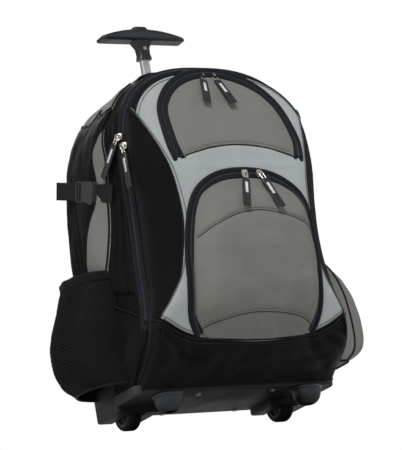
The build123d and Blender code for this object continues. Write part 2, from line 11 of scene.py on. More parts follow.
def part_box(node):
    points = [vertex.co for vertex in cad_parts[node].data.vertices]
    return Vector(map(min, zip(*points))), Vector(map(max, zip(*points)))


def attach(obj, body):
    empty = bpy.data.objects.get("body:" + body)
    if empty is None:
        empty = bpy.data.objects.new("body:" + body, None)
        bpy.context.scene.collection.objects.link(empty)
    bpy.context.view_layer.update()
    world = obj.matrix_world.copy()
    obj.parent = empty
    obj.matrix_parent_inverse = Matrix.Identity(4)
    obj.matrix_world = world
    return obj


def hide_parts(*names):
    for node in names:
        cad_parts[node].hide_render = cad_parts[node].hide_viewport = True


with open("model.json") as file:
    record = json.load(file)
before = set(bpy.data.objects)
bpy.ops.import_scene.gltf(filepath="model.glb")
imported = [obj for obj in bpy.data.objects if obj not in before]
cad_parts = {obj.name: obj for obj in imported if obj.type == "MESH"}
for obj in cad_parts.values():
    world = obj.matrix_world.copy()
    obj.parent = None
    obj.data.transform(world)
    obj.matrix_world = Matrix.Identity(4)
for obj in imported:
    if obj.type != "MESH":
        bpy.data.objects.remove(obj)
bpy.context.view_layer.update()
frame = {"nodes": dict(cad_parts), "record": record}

MM = 0.001

# ---------------------------------------------------------------- the bag's form
# Lengths are in millimetres until a mesh is made. x is across, y is depth, z is height.
SHOULDER_Z = 300.0        # the sides are straight up to here and arch over above
ARCH_POWER = 2.65
BACK_PLANE = 126.0
BACK_RADIUS = 26.0        # rounds the sides in to the back
BOOT_FOOT = 37.0          # lower edge of the cloth
FRONT_Y = -55.0           # depth of the arch that the front outlines follow


class Profile:
    """A smooth curve through a few (height, value) pairs."""

    def __init__(self, pairs, blur=12.0):
        z, v = zip(*pairs)
        self.z = np.arange(z[0] - 40.0, z[-1] + 41.0, 1.0)
        raw = np.interp(self.z, z, v)
        reach = int(3 * blur)
        kernel = np.exp(-0.5 * (np.arange(-reach, reach + 1) / blur) ** 2)
        padded = np.pad(raw, reach, mode="edge")
        self.v = np.convolve(padded, kernel / kernel.sum(), mode="valid")

    def __call__(self, z):
        return np.interp(z, self.z, self.v)


side_half = Profile([(40, 158), (62, 160), (85, 162), (105, 157), (150, 146), (196, 141), (241, 138.7), (270, 139.6),
                     (300, 143), (330, 145.5), (360, 149), (375, 151.5), (390, 154), (420, 159), (480, 160)])
rear_half = Profile([(40, 156), (62, 157), (110, 157), (150, 160), (190, 166), (215, 171), (235, 173), (280, 169),
                     (330, 164), (380, 160), (420, 156), (480, 156)])
front_face = Profile([(40, -3), (50, -24), (62, -42), (75, -52), (85, -56), (105, -63), (135, -76.5), (200, -91.5),
                      (255, -101), (320, -100), (356, -92), (403, -75), (440, -66), (478, -57)], 7.0)
front_edge = Profile([(40, 20), (62, -14), (82, -38), (105, -44), (150, -33), (196, -25), (241, -26), (270, -30),
                      (300, -38), (330, -41), (360, -46), (380, -50), (403, -54), (440, -54), (478, -53)], 8.0)
corner_run = Profile([(40, 34), (62, 24), (82, 18), (112, 20), (150, 40), (200, 60), (300, 62), (360, 54), (440, 40),
                      (478, 36)], 8.0)
lower_swell = Profile([(40, 0), (50, 5), (62, 8), (75, 9), (84, 9), (100, 19), (114, 29), (140, 32), (200, 32),
                       (239, 25), (262, 17), (284, 7), (299, 1), (308, 0)], 5.0)
top_swell = Profile([(325, 1), (340, 6), (360, 8), (403, 10), (430, 6), (450, 1), (460, 0), (474, 0)], 6.0)


def arch_top(y):
    """The arch is lower at the front edge than over the middle."""
    return 478.0 + 14.0 * smooth((y - FRONT_Y) / 60.0)


def smooth(t):
    t = np.clip(t, 0.0, 1.0)
    return t * t * (3.0 - 2.0 * t)


def bow(t):
    """A quarter round from 0 to 1."""
    t = np.clip(t, 0.0, 1.0)
    return np.sqrt(np.maximum(0.0, 1.0 - (1.0 - t) ** 2))


def flank(z, y):
    """Half the width below the arch: narrow at the front edge, wider at the back."""
    back = y - front_edge(z)
    share = smooth(back / 80.0)
    roll = 6.0 * smooth((z - 330.0) / 60.0) * smooth(back / 22.0) * (1.0 - smooth((back - 40.0) / 70.0))
    return side_half(z) + (rear_half(z) - side_half(z)) * share + roll


def half_width(z, y=FRONT_Y):
    u = np.clip((z - SHOULDER_Z) / (arch_top(y) - SHOULDER_Z), 0.0, 1.0)
    return flank(z, y) * (1.0 - u ** ARCH_POWER) ** (1.0 / ARCH_POWER)


def arch_points(y, count=240, inset=0.0, foot=BOOT_FOOT):
    """Points (x, z) along the arch, evenly spaced, from the left foot over the top to the right foot."""
    top = arch_top(y)
    angle = np.linspace(0.0, math.pi / 2, 200)
    zs = SHOULDER_Z + (top - SHOULDER_Z) * np.sin(angle) ** (2 / ARCH_POWER)
    xs = side_half(zs) * np.cos(angle) ** (2 / ARCH_POWER)
    low = np.linspace(foot, SHOULDER_Z, 60)[:-1]
    xs = np.concatenate([side_half(low), xs])
    zs = np.concatenate([low, zs])
    xs = np.concatenate([-xs, xs[::-1][1:]])
    zs = np.concatenate([zs, zs[::-1][1:]])
    points = resample(np.stack([xs, zs], 1), count)
    if inset:
        points = points + inset * inward(points)
    return points


def resample(points, count, closed=False):
    if closed:
        points = np.vstack([points, points[:1]])
    steps = np.linalg.norm(np.diff(points, axis=0), axis=1)
    along = np.concatenate([[0.0], np.cumsum(steps)])
    at = np.linspace(0.0, along[-1], count + (1 if closed else 0))
    if closed:
        at = at[:-1]
    return np.stack([np.interp(at, along, points[:, k]) for k in range(points.shape[1])], 1)


def inward(points):
    """Unit normals of an open arch that point to its inside."""
    tangent = np.gradient(points, axis=0)
    tangent /= np.linalg.norm(tangent, axis=1)[:, None]
    return np.stack([tangent[:, 1], -tangent[:, 0]], 1)


def spline(points, count, closed=False):
    """A Catmull-Rom curve through the points, evenly resampled."""
    p = np.asarray(points, float)
    n = len(p)
    dense = []
    for i in range(n if closed else n - 1):
        a, b, c, d = (p[(i + k) % n] if closed else p[min(max(i + k, 0), n - 1)] for k in (-1, 0, 1, 2))
        for t in np.linspace(0.0, 1.0, 24, endpoint=False):
            dense.append(0.5 * (2 * b + (c - a) * t + (2 * a - 5 * b + 4 * c - d) * t * t
                                + (3 * b - a - 3 * c + d) * t ** 3))
    if not closed:
        dense.append(p[-1])
    return resample(np.array(dense), count, closed)


def near(points, line, closed=False):
    """Distance from each 2-D point to a line of many short runs."""
    if closed:
        line = np.vstack([line, line[:1]])
    a, b = line[:-1], line[1:]
    run = b - a
    length = (run ** 2).sum(1)
    best = np.full(len(points), 1e9)
    for k in range(len(a)):
        t = np.clip(((points - a[k]) @ run[k]) / length[k], 0.0, 1.0)
        best = np.minimum(best, np.linalg.norm(points - a[k] - t[:, None] * run[k], axis=1))
    return best


def within(points, line):
    """Which points lie inside a closed outline."""
    x, y = points[:, 0], points[:, 1]
    inside = np.zeros(len(points), bool)
    for (x0, y0), (x1, y1) in zip(line, np.roll(line, -1, axis=0)):
        crosses = (y0 > y) != (y1 > y)
        with np.errstate(divide="ignore", invalid="ignore"):
            inside ^= crosses & (x < (x1 - x0) * (y - y0) / (y1 - y0) + x0)
    return inside


EDGE = arch_points(FRONT_Y, 300)
EDGE_IN = inward(EDGE)
LOWER_HALF = [(88, 84), (101, 112), (103, 150), (100, 200), (92, 252), (76, 281), (43, 301)]
LOWER_TOP = (0, 307)
TOP_HALF = [(98, 322), (103, 356), (98, 403), (83, 432), (60, 453), (32, 466)]
TOP_TOP = (0, 471)


def closed_outline(half, top, count=260):
    left = [(-x, z) for x, z in half]
    run = left + [top] + half[::-1]
    return spline(run, count)


def shrink(line, amount):
    """An open or closed outline moved towards its middle side."""
    return line + amount * inward(line)


LOWER_LINE = closed_outline(LOWER_HALF, LOWER_TOP)
TOP_LINE = closed_outline(TOP_HALF, TOP_TOP)


def swell(x, z):
    """How far the two pockets stand out of the front face."""
    points = np.stack([x, z], 1)
    out = np.zeros(len(x))
    for outline, foot, flare, height in ((LOWER_LINE, 30.0, 26.0, lower_swell),
                                         (TOP_LINE, 312.0, 0.0, lambda z: np.where(z > 300.0, top_swell(z), 0.0))):
        line = shrink(outline, 5.0)
        line = np.vstack([[[line[0, 0] - flare, foot]], line, [[line[-1, 0] + flare, foot]]])
        depth = np.where(within(points, line), near(points, line), 0.0)
        out += height(z) * np.sin(np.clip(depth / 30.0, 0.0, 1.0) * math.pi / 2)
    return out


def front_chart(uv):
    """Front face: (x, z) to a point, with the pockets standing out."""
    x, z = uv[:, 0], uv[:, 1]
    depth = np.where(np.abs(x) < half_width(z), near(uv, EDGE), 0.0)
    y = front_edge(z) + (front_face(z) - front_edge(z)) * bow(depth / corner_run(z))
    return np.stack([x, y - swell(x, z), z], 1)


def side_surface(side):
    """One side, from (y, z): -1 is the left side and 1 the right."""
    def chart(uv):
        y, z = uv[:, 0], uv[:, 1]
        over = np.clip((y - (BACK_PLANE - BACK_RADIUS)) / BACK_RADIUS, 0.0, 0.98)
        x = half_width(z, y) - BACK_RADIUS * (1.0 - np.sqrt(1.0 - over ** 2))
        return np.stack([side * x, y, z], 1)
    return Surface(chart, (side, 0.0, 0.0))


class Surface:
    """A chart from flat outlines to points in space, and the direction that is outside."""

    def __init__(self, chart, out):
        self.chart, self.out = chart, np.asarray(out, float)

    def __call__(self, uv):
        return self.chart(uv)

    def normals(self, uv, step=0.6):
        du = self.chart(uv + [step, 0.0]) - self.chart(uv - [step, 0.0])
        dv = self.chart(uv + [0.0, step]) - self.chart(uv - [0.0, step])
        n = np.cross(du, dv)
        n /= np.maximum(np.linalg.norm(n, axis=1), 1e-9)[:, None]
        flip = np.sign(n @ self.out)
        flip[flip == 0] = 1.0
        return n * flip[:, None]


AHEAD_OF_BAG = (0.0, -1.0, 0.0)
FRONT = Surface(front_chart, AHEAD_OF_BAG)


# ---------------------------------------------------------------- mesh helpers
def link(name, data):
    obj = bpy.data.objects.new(name, data)
    bpy.context.scene.collection.objects.link(obj)
    return obj


def shade_smooth(mesh):
    mesh.polygons.foreach_set("use_smooth", [True] * len(mesh.polygons))


def make_object(name, verts, faces, material=None, rounded=True):
    mesh = bpy.data.meshes.new(name)
    mesh.from_pydata([tuple(v) for v in np.asarray(verts, float) * MM], [], faces)
    mesh.update()
    if material:
        mesh.materials.append(material)
    if rounded:
        shade_smooth(mesh)
    return link(name, mesh)


def grid_faces(rows, columns, wrap=False, ring=False, flip=False, first=0):
    """Quads over rows of points; the columns may wrap, and the last row may meet the first."""
    faces = []
    for r in range(rows if ring else rows - 1):
        for c in range(columns if wrap else columns - 1):
            here, after = first + r * columns, first + (r + 1) % rows * columns
            d = (c + 1) % columns
            faces.append((here + c, after + c, after + d, here + d) if flip
                         else (here + c, here + d, after + d, after + c))
    return faces


def crinkle(points, size, seed):
    """Smooth noise of about -1 to 1 over points in millimetres."""
    shift = Vector((seed * 7.3, seed * 3.1, seed * 5.7))
    return np.array([noise.noise(Vector(p) / size + shift) for p in points])


def panel(name, outline, surface, material, puff=3.0, rim=14.0, lift=0.4, tuck=3.0, step=4.0,
          folds=0.0, fold_size=40.0, stretch=(1.0, 1.0, 1.0), dents=(), holes=()):
    """A sewn fabric panel: it meets its outline low and stands proud inside it."""
    outline = np.asarray(outline, float)
    low, high = outline.min(0), outline.max(0)
    rows = np.arange(low[1], high[1], step * 0.87)
    grid = np.array([(u, v) for k, v in enumerate(rows)
                     for u in np.arange(low[0] + (step / 2 if k % 2 else 0.0), high[0], step)])
    grid = grid[within(grid, outline)]
    grid = grid[near(grid, outline, True) > step * 0.55]
    edges = [(i, (i + 1) % len(outline)) for i in range(len(outline))]
    flat, _, faces, *_ = geometry.delaunay_2d_cdt([Vector(p) for p in np.vstack([outline, grid])], edges, [], 1, 1e-4)
    uv = np.array([tuple(p) for p in flat])
    faces = [tuple(f) for f in faces]
    for hole in holes:
        middle = np.array([uv[list(f)].mean(0) for f in faces])
        faces = [f for f, gone in zip(faces, within(middle, hole)) if not gone]
    depth = near(uv, outline, True)
    base = surface(uv)
    normal = surface.normals(uv)
    rise = lift + puff * (1.0 - np.exp(-depth / rim * 1.6))
    if folds:
        seed = sum(map(ord, name)) % 17
        scaled = base * np.asarray(stretch)
        rise += folds * crinkle(scaled, fold_size, seed) * smooth(depth / 12.0)
        rise += 0.4 * folds * crinkle(scaled, fold_size * 0.4, seed + 1) * smooth(depth / 8.0)
    for line, deep, wide in dents:
        rise -= deep * np.exp(-(near(uv, line) / wide) ** 2) * smooth((depth - 3.0) / 8.0)
    obj = make_object(name, base + normal * rise[:, None], faces, material)
    bm = bmesh.new()
    bm.from_mesh(obj.data)
    old_verts = list(bm.verts)
    bmesh.ops.recalc_face_normals(bm, faces=bm.faces)
    total = sum((f.normal for f in bm.faces), Vector())
    if total.dot(Vector(surface.out)) < 0:
        bmesh.ops.reverse_faces(bm, faces=bm.faces)
    rim_edges = [e for e in bm.edges if e.is_boundary]
    start = {v: Vector(normal[v.index]) for v in old_verts}
    made = bmesh.ops.extrude_edge_only(bm, edges=rim_edges)
    for v in made["geom"]:
        if isinstance(v, bmesh.types.BMVert):
            source = min((e.other_vert(v) for e in v.link_edges), key=lambda w: (w.co - v.co).length)
            v.co = v.co - start[source] * tuck * MM
    bmesh.ops.delete(bm, geom=[v for v in bm.verts if not v.link_faces], context="VERTS")
    bm.to_mesh(obj.data)
    bm.free()
    shade_smooth(obj.data)
    return obj


def frames(path, normal, closed=False):
    """Tangent and across vectors for a path with given normals."""
    p = np.asarray(path, float)
    if closed:
        tangent = np.roll(p, -1, axis=0) - np.roll(p, 1, axis=0)
    else:
        tangent = np.gradient(p, axis=0)
    tangent /= np.maximum(np.linalg.norm(tangent, axis=1), 1e-9)[:, None]
    n = np.asarray(normal, float)
    n = n - (n * tangent).sum(1)[:, None] * tangent
    n /= np.maximum(np.linalg.norm(n, axis=1), 1e-9)[:, None]
    return tangent, np.cross(tangent, n), n


def sweep(name, path, normal, section, material=None, closed=False):
    """A closed section of (across, up) pairs carried along a path."""
    _, across, up = frames(path, normal, closed)
    n, m = len(path), len(section)
    verts = [p + a * s + u * h for p, a, u in zip(path, across, up) for s, h in section]
    faces = grid_faces(n, m, True, closed)
    if not closed:
        faces.append(tuple(range(m))[::-1])
        faces.append(tuple((n - 1) * m + k for k in range(m)))
    return make_object(name, verts, faces, material)


def around(radius, sides=8):
    return [(radius * math.cos(2 * math.pi * k / sides), radius * math.sin(2 * math.pi * k / sides))
            for k in range(sides)]


def join(name, objects):
    """Several meshes in one object; each keeps its materials."""
    bm = bmesh.new()
    materials = []
    for obj in objects:
        first = len(bm.faces)
        materials += [m for m in obj.data.materials if m not in materials]
        index = [materials.index(m) for m in obj.data.materials]
        bm.from_mesh(obj.data)
        bm.faces.ensure_lookup_table()
        for f in bm.faces[first:]:
            f.material_index = index[f.material_index] if index else 0
        bpy.data.objects.remove(obj)
    out = bpy.data.meshes.new(name)
    bm.to_mesh(out)
    bm.free()
    for m in materials:
        out.materials.append(m)
    return link(name, out)


def rounded_box(size, bevel, centre, turn, segments, material):
    """A bevelled box; size and centre in millimetres, turn a 3x3 matrix."""
    bm = bmesh.new()
    bmesh.ops.create_cube(bm, size=1.0)
    for v in bm.verts:
        v.co = Vector((v.co.x * size[0], v.co.y * size[1], v.co.z * size[2]))
    bmesh.ops.bevel(bm, geom=bm.edges[:] + bm.verts[:], offset=bevel, segments=segments, profile=0.6,
                    affect="EDGES")
    bm.transform(Matrix.Scale(MM, 4) @ Matrix.Translation(centre) @ turn.to_4x4())
    mesh = bpy.data.meshes.new("box")
    bm.to_mesh(mesh)
    bm.free()
    mesh.materials.append(material)
    shade_smooth(mesh)
    return link("box", mesh)


# ---------------------------------------------------------------- materials
def shade(colour, factor):
    return tuple(min(1.0, c * factor) for c in colour)


def node(tree, kind, **values):
    n = tree.nodes.new(kind)
    for key, value in values.items():
        if key.startswith("in_"):
            n.inputs[int(key[3:])].default_value = value
        else:
            setattr(n, key, value)
    return n


class Finish:
    """A material under construction: its node tree, its shader and its object coordinates."""

    def __init__(self, name, roughness, metallic=0.0, sheen=0.0, coat=0.0, specular=0.5):
        self.material = bpy.data.materials.new(name)
        self.material.use_nodes = True
        self.tree = self.material.node_tree
        self.shader = self.tree.nodes["Principled BSDF"].inputs
        for socket, value in (("Roughness", roughness), ("Metallic", metallic), ("Sheen Weight", sheen * 0.12),
                              ("Sheen Roughness", 0.5), ("Coat Weight", coat), ("Specular IOR Level", specular)):
            self.shader[socket].default_value = value
        self.coords = node(self.tree, "ShaderNodeTexCoord").outputs["Object"]

    def link(self, output, socket):
        self.tree.links.new(output, socket)

    def math(self, operation, *values):
        n = node(self.tree, "ShaderNodeMath", operation=operation)
        for socket, value in zip(n.inputs, values):
            if isinstance(value, (int, float)):
                socket.default_value = value
            else:
                self.link(value, socket)
        return n.outputs[0]

    def times(self, a, b):
        return self.math("MULTIPLY", a, b)

    def plus(self, a, b):
        return self.math("ADD", a, b)

    def noise(self, scale, detail=3.0, coords=None):
        n = node(self.tree, "ShaderNodeTexNoise")
        for socket, value in (("Scale", scale), ("Detail", detail), ("Roughness", 0.55)):
            n.inputs[socket].default_value = value
        self.link(coords or self.coords, n.inputs["Vector"])
        return n.outputs["Fac"]

    def ramp(self, value, *stops):
        n = node(self.tree, "ShaderNodeValToRGB")
        e = n.color_ramp.elements
        while len(e) < len(stops):
            e.new(0.5)
        for item, (at, colour) in zip(e, stops):
            item.position = at
            item.color = (*colour, 1.0)
        self.link(value, n.inputs[0])
        return n.outputs[0]

    def spread(self, value, low, high, to_low=0.0, to_high=1.0):
        n = node(self.tree, "ShaderNodeMapRange", in_1=low, in_2=high, in_3=to_low, in_4=to_high)
        self.link(value, n.inputs[0])
        return n.outputs[0]

    def edge_wear_and_sheen(self, low, high):
        """0 on flat surfaces, 1 along exposed edges; it marks edge wear, and on cloth a painted sheen as well."""
        return self.spread(node(self.tree, "ShaderNodeNewGeometry").outputs["Pointiness"], low, high)

    def mix(self, factor, a, b):
        """Colour socket a turned towards the plain colour b."""
        n = node(self.tree, "ShaderNodeMix", data_type="RGBA")
        self.link(factor, n.inputs["Factor"])
        self.link(a, n.inputs[6])
        n.inputs[7].default_value = (*b, 1.0)
        return n.outputs[2]

    def done(self, colour, height, strength, distance):
        """Connect the colour and a bump, and hand over the material."""
        self.link(colour, self.shader["Base Color"])
        b = node(self.tree, "ShaderNodeBump")
        b.inputs["Strength"].default_value = strength
        b.inputs["Distance"].default_value = distance
        self.link(height, b.inputs["Height"])
        self.link(b.outputs[0], self.shader["Normal"])
        return self.material


def woven(name, colour, period=1.5, contrast=0.16, roughness=0.75, sheen=0.15, bump=0.35, ribs=0.0, patch=0.1,
          edge=1.25):
    """Plain-weave cloth: threads over and under, slubs, a slow drift of tone, and lighter edges that are partly wear
    and partly a painted sheen on dark cloth.
    """
    f = Finish(name, roughness, 0.0, sheen, specular=0.09)
    xyz = node(f.tree, "ShaderNodeSeparateXYZ")
    f.link(f.coords, xyz.inputs[0])
    k = 2 * math.pi / (period * MM)
    across = f.plus(xyz.outputs[0], xyz.outputs[1])
    cross = f.times(f.math("SINE", f.times(across, k)), f.math("SINE", f.times(xyz.outputs[2], k)))
    if ribs:
        cross = f.plus(f.times(cross, 0.35), f.math("SINE", f.times(across, 2 * math.pi / (ribs * MM))))
    slub, drift = f.noise(420.0), f.noise(16.0, 4.0)
    height = f.plus(f.times(cross, 0.5 if ribs else 0.22), slub)
    tone = f.plus(f.times(cross, contrast if ribs else 0.25 * contrast),
                  f.plus(f.times(slub, 1.4 * contrast), f.times(drift, patch * 4)))
    cloth = f.ramp(tone, (0.0, shade(colour, 0.72)), (0.42, colour), (0.95, shade(colour, 1.32)))
    # Convex edges turn paler: partly wear, partly a painted sheen that stands in for the grey glint of dark cloth at
    # grazing angles.
    return f.done(f.mix(f.edge_wear_and_sheen(0.53, 0.64), cloth, shade(colour, edge)), height, bump, 0.4 * MM)


def moulded(name, colour, roughness=0.5, bump=0.2, coat=0.0, scuffs=0.5):
    """Moulded plastic or rubber with a fine grain and scuffed, paler edges."""
    f = Finish(name, roughness, coat=coat, specular=0.45)
    fine, broad = f.noise(1040.0, 2.0), f.noise(30.0, 5.0)
    base = f.ramp(broad, (0.3, shade(colour, 0.8)), (0.6, colour), (0.8, shade(colour, 1.3)))
    rub = f.times(f.edge_wear_and_sheen(0.52, 0.6), f.times(broad, scuffs))
    f.link(f.spread(broad, 0.3, 0.7, roughness - 0.07, roughness + 0.1), f.shader["Roughness"])
    return f.done(f.mix(rub, base, shade(tuple(c + 0.03 for c in colour), 2.2)), fine, bump, 0.15 * MM)


def metal(name, colour, roughness=0.3, brushed=(1.0, 1.0, 1.0), bump=0.1):
    """Metal with fine drawn lines, smudges and small scratches."""
    f = Finish(name, roughness, 1.0)
    mapping = node(f.tree, "ShaderNodeMapping")
    mapping.inputs["Scale"].default_value = brushed
    f.link(f.coords, mapping.inputs[0])
    lines, smudge = f.noise(900.0, 4.0, mapping.outputs[0]), f.noise(45.0)
    both = f.plus(f.times(lines, 0.16), f.times(smudge, 0.18))
    f.link(f.plus(both, roughness - 0.14), f.shader["Roughness"])
    return f.done(f.ramp(smudge, (0.3, shade(colour, 0.82)), (0.7, colour)), lines, bump, 0.05 * MM)


BLACK = (0.0026, 0.0026, 0.0031)
LIGHT_GREY = (0.40, 0.43, 0.43)
MID_GREY = (0.190, 0.188, 0.176)
# In order: woven: name, colour, period, contrast, roughness, sheen, bump; moulded and metal: name, colour, roughness
M = {
    "black_fabric": woven("black_fabric", BLACK, 1.6, 0.3, 0.72, 0.25, 0.5, patch=0.14, edge=2.4),
    "boot_fabric": woven("boot_fabric", BLACK, 1.6, 0.3, 0.5, 0.3, 0.5, patch=0.14, edge=2.4),
    "strip_fabric": woven("strip_fabric", shade(BLACK, 1.15), 1.2, 0.3, 0.6, 0.2, 0.7, ribs=4.2, edge=2.2),
    "light_fabric": woven("light_fabric", LIGHT_GREY, 1.5, 0.14, 0.8, 0.1, 0.4, patch=0.08, edge=1.1),
    "grey_fabric": woven("grey_fabric", MID_GREY, 1.5, 0.2, 0.8, 0.1, 0.5, patch=0.1, edge=1.2),
    "piping": woven("piping", (0.01, 0.01, 0.012), 0.8, 0.2, 0.5, 0.1, 0.3, edge=2.5),
    "seam": woven("seam", (0.045, 0.044, 0.041), 0.8, 0.2, 0.8, 0.1, 0.3),
    "thread": woven("thread", (0.03, 0.03, 0.033), 0.5, 0.2, 0.6, 0.1, 0.3),
    "grey_seam": woven("grey_seam", (0.15, 0.16, 0.16), 0.5, 0.2, 0.6, 0.1, 0.3),
    "grey_thread": woven("grey_thread", (0.23, 0.24, 0.24), 0.5, 0.2, 0.6, 0.1, 0.3),
    "webbing": woven("webbing", (0.012, 0.012, 0.014), 1.1, 0.6, 0.62, 0.3, 1.0, ribs=3.4, edge=3.4),
    "mesh": woven("mesh", (0.007, 0.007, 0.008), 0.7, 0.2, 0.6, 0.2, 0.3, edge=2.0),
    "elastic": woven("elastic", (0.007, 0.007, 0.008), 0.9, 0.3, 0.65, 0.3, 0.6, ribs=1.8, edge=2.2),
    "pad": woven("pad", (0.011, 0.011, 0.012), 2.4, 0.4, 0.8, 0.3, 0.8, edge=2.0),
    "zip_tape": woven("zip_tape", (0.0105, 0.0118, 0.0155), 0.8, 0.3, 0.55, 0.15, 0.4, edge=2.4),
    "sleeve": woven("sleeve", (0.03, 0.03, 0.032), 1.8, 0.2, 0.8, 0.3, 0.4),
    "lining": woven("lining", (0.006, 0.006, 0.007), 1.2, 0.2, 0.6, 0.2, 0.3),
    "coil": moulded("coil", (0.03, 0.034, 0.045), 0.35, coat=0.2),
    "base": moulded("base", (0.005, 0.0055, 0.007), 0.5, bump=0.45),
    "feet": moulded("feet", (0.010, 0.014, 0.018), 0.34, bump=0.2, coat=0.3),
    "tyre": moulded("tyre", (0.008, 0.008, 0.009), 0.72, bump=0.6, scuffs=0.9),
    "hub": moulded("hub", (0.05, 0.052, 0.056), 0.45),
    "handle": moulded("handle", (0.004, 0.0062, 0.009), 0.46, bump=0.3, coat=0.15),
    "bush": moulded("bush", (0.45, 0.45, 0.43), 0.4),
    "buckle": moulded("buckle", (0.009, 0.009, 0.011), 0.34, coat=0.2),
    "board": moulded("board", (0.25, 0.25, 0.26), 0.5),
    "tab": moulded("tab", (0.008, 0.008, 0.01), 0.38, coat=0.25),
    "stripe": moulded("stripe", (0.62, 0.64, 0.65), 0.3, coat=0.4, scuffs=0.2),
    "slider": metal("slider", (0.82, 0.78, 0.74), 0.26),
    "steel": metal("steel", (0.66, 0.66, 0.67), 0.25),
    "tube": metal("tube", (0.62, 0.63, 0.65), 0.36, (1.0, 1.0, 0.04), 0.15),
}
SLOT_OF = {s["node"]: s["material_slot"] for s in frame["record"]["subparts"]}
MATERIAL_OF_SLOT = {"zipper": "zip_tape", "pull": "tab"}
for node_name, node_object in frame["nodes"].items():
    slot_name = SLOT_OF.get(node_name, "base")
    node_object.data.materials.clear()
    node_object.data.materials.append(M.get(MATERIAL_OF_SLOT.get(slot_name, slot_name), M["base"]))


def place(obj, body, slot_name, *replaced, pad=None):
    """Say which body a piece rides on and the CAD nodes it stands for; slot_name is not used."""
    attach(obj, body)
    if replaced:
        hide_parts(*replaced)
    return obj


# ---------------------------------------------------------------- camera, light and floor
def aim(azimuth, elevation, roll):
    a, e, r = (math.radians(v) for v in (azimuth, elevation, roll))
    back = Vector((math.sin(a) * math.cos(e), -math.cos(a) * math.cos(e), math.sin(e)))
    ahead = -back
    right = ahead.cross(Vector((0, 0, 1))).normalized()
    up = right.cross(ahead)
    return ahead, right * math.cos(r) - up * math.sin(r), right * math.sin(r) + up * math.cos(r)


TARGET = Vector((0.0, 0.0065, 0.300))
DISTANCE = 3.5
AHEAD, RIGHT, UP = aim(-32.0, -15.7, 10.3)
eye = TARGET - AHEAD * DISTANCE - RIGHT * 0.00622 - UP * 0.03197
camera = bpy.data.cameras.new("camera")
camera.lens = 198.0
camera.sensor_width = 36.0
camera.clip_end = 60.0
camera_object = link("camera", camera)
camera_object.matrix_world = Matrix.Translation(eye) @ Matrix((RIGHT, UP, -AHEAD)).transposed().to_4x4()
bpy.context.scene.camera = camera_object
bpy.context.scene.view_settings.view_transform = "Standard"


def area_light(name, at, towards, size, power):
    light = bpy.data.lights.new(name, "AREA")
    light.shape = "DISK"
    light.size = size
    light.energy = power
    at = Vector(at)
    turn = (Vector(towards) - at).to_track_quat("-Z", "Y").to_matrix().to_4x4()
    link(name, light).matrix_world = Matrix.Translation(at) @ turn


area_light("key_light", (-1.3, -2.5, 3.0), (0, 0, 0.36), 1.2, 92.0)
area_light("fill_light", (2.8, -1.6, 1.3), (0, 0, 0.3), 1.8, 16.0)
area_light("low_light", (-0.8, -3.0, 0.35), (0, 0, 0.25), 1.4, 5.0)
area_light("back_light", (0.8, 2.6, 2.2), (0, 0, 0.3), 1.8, 40.0)
area_light("side_light", (-3.0, 0.6, 1.0), (0, 0, 0.3), 1.4, 16.0)

world = bpy.data.worlds.new("studio")
world.use_nodes = True
bpy.context.scene.world = world
tree = world.node_tree
background = tree.nodes["Background"]
background.inputs["Color"].default_value = (1.0, 1.0, 1.0, 1.0)
path_node = node(tree, "ShaderNodeLightPath")
strength = node(tree, "ShaderNodeMapRange", in_1=0.0, in_2=1.0, in_3=0.27, in_4=1.0)
tree.links.new(path_node.outputs["Is Camera Ray"], strength.inputs[0])
tree.links.new(strength.outputs[0], background.inputs["Strength"])


def make_floor():
    """A wide pale floor that can't be seen from underneath."""
    rings, spokes, reach = 24, 64, 9000.0
    verts = [(0.0, 0.0, 0.0)]
    for r in range(1, rings + 1):
        for s in range(spokes):
            a = 2 * math.pi * s / spokes
            d = reach * (r / rings) ** 2
            verts.append((d * math.cos(a), d * math.sin(a), 0.0))
    faces = [(0, 1 + s, 1 + (s + 1) % spokes) for s in range(spokes)]
    faces += grid_faces(rings, spokes, True, flip=True, first=1)
    f = Finish("floor_paper", 0.9, specular=0.2)
    f.link(f.ramp(f.noise(3.0), (0.3, (0.80, 0.80, 0.80)), (0.7, (0.84, 0.84, 0.84))), f.shader["Base Color"])
    choose = node(f.tree, "ShaderNodeMixShader")
    f.link(node(f.tree, "ShaderNodeNewGeometry").outputs["Backfacing"], choose.inputs[0])
    f.link(f.tree.nodes["Principled BSDF"].outputs[0], choose.inputs[1])
    f.link(node(f.tree, "ShaderNodeBsdfTransparent").outputs[0], choose.inputs[2])
    f.link(choose.outputs[0], f.tree.nodes["Material Output"].inputs["Surface"])
    make_object("floor", verts, faces, f.material)


make_floor()


# ---------------------------------------------------------------- sewing
def stitches(name, line, surface, material, lift, pitch=3.4, length=2.2, radius=0.35, closed=False):
    """A row of thread dashes along a 2-D line of a chart."""
    total = np.linalg.norm(np.diff(line, axis=0), axis=1).sum()
    dense = resample(line, max(2, int(total / pitch)), closed)
    ahead = np.gradient(dense, axis=0)
    ahead /= np.maximum(np.linalg.norm(ahead, axis=1), 1e-9)[:, None]
    verts, faces = [], []
    a = surface(dense - ahead * length / 2)
    b = surface(dense + ahead * length / 2)
    n = surface.normals(dense)
    for p, q, up in zip(a, b, n):
        run = q - p
        run /= max(np.linalg.norm(run), 1e-9)
        side = np.cross(run, up) * radius
        rise = up * lift
        faces += grid_faces(3, 3, first=len(verts))
        for end, low in ((p, 0.5), (0.5 * (p + q), 1.6), (q, 0.5)):
            verts += [end + rise - side, end + rise + up * radius * low, end + rise + side]
    return make_object(name, verts, faces, material)


def piping(name, line, surface, material, radius=1.5, lift=1.2, closed=False):
    n = surface.normals(line)
    return sweep(name, surface(line) + n * lift, n, around(radius), material, closed)


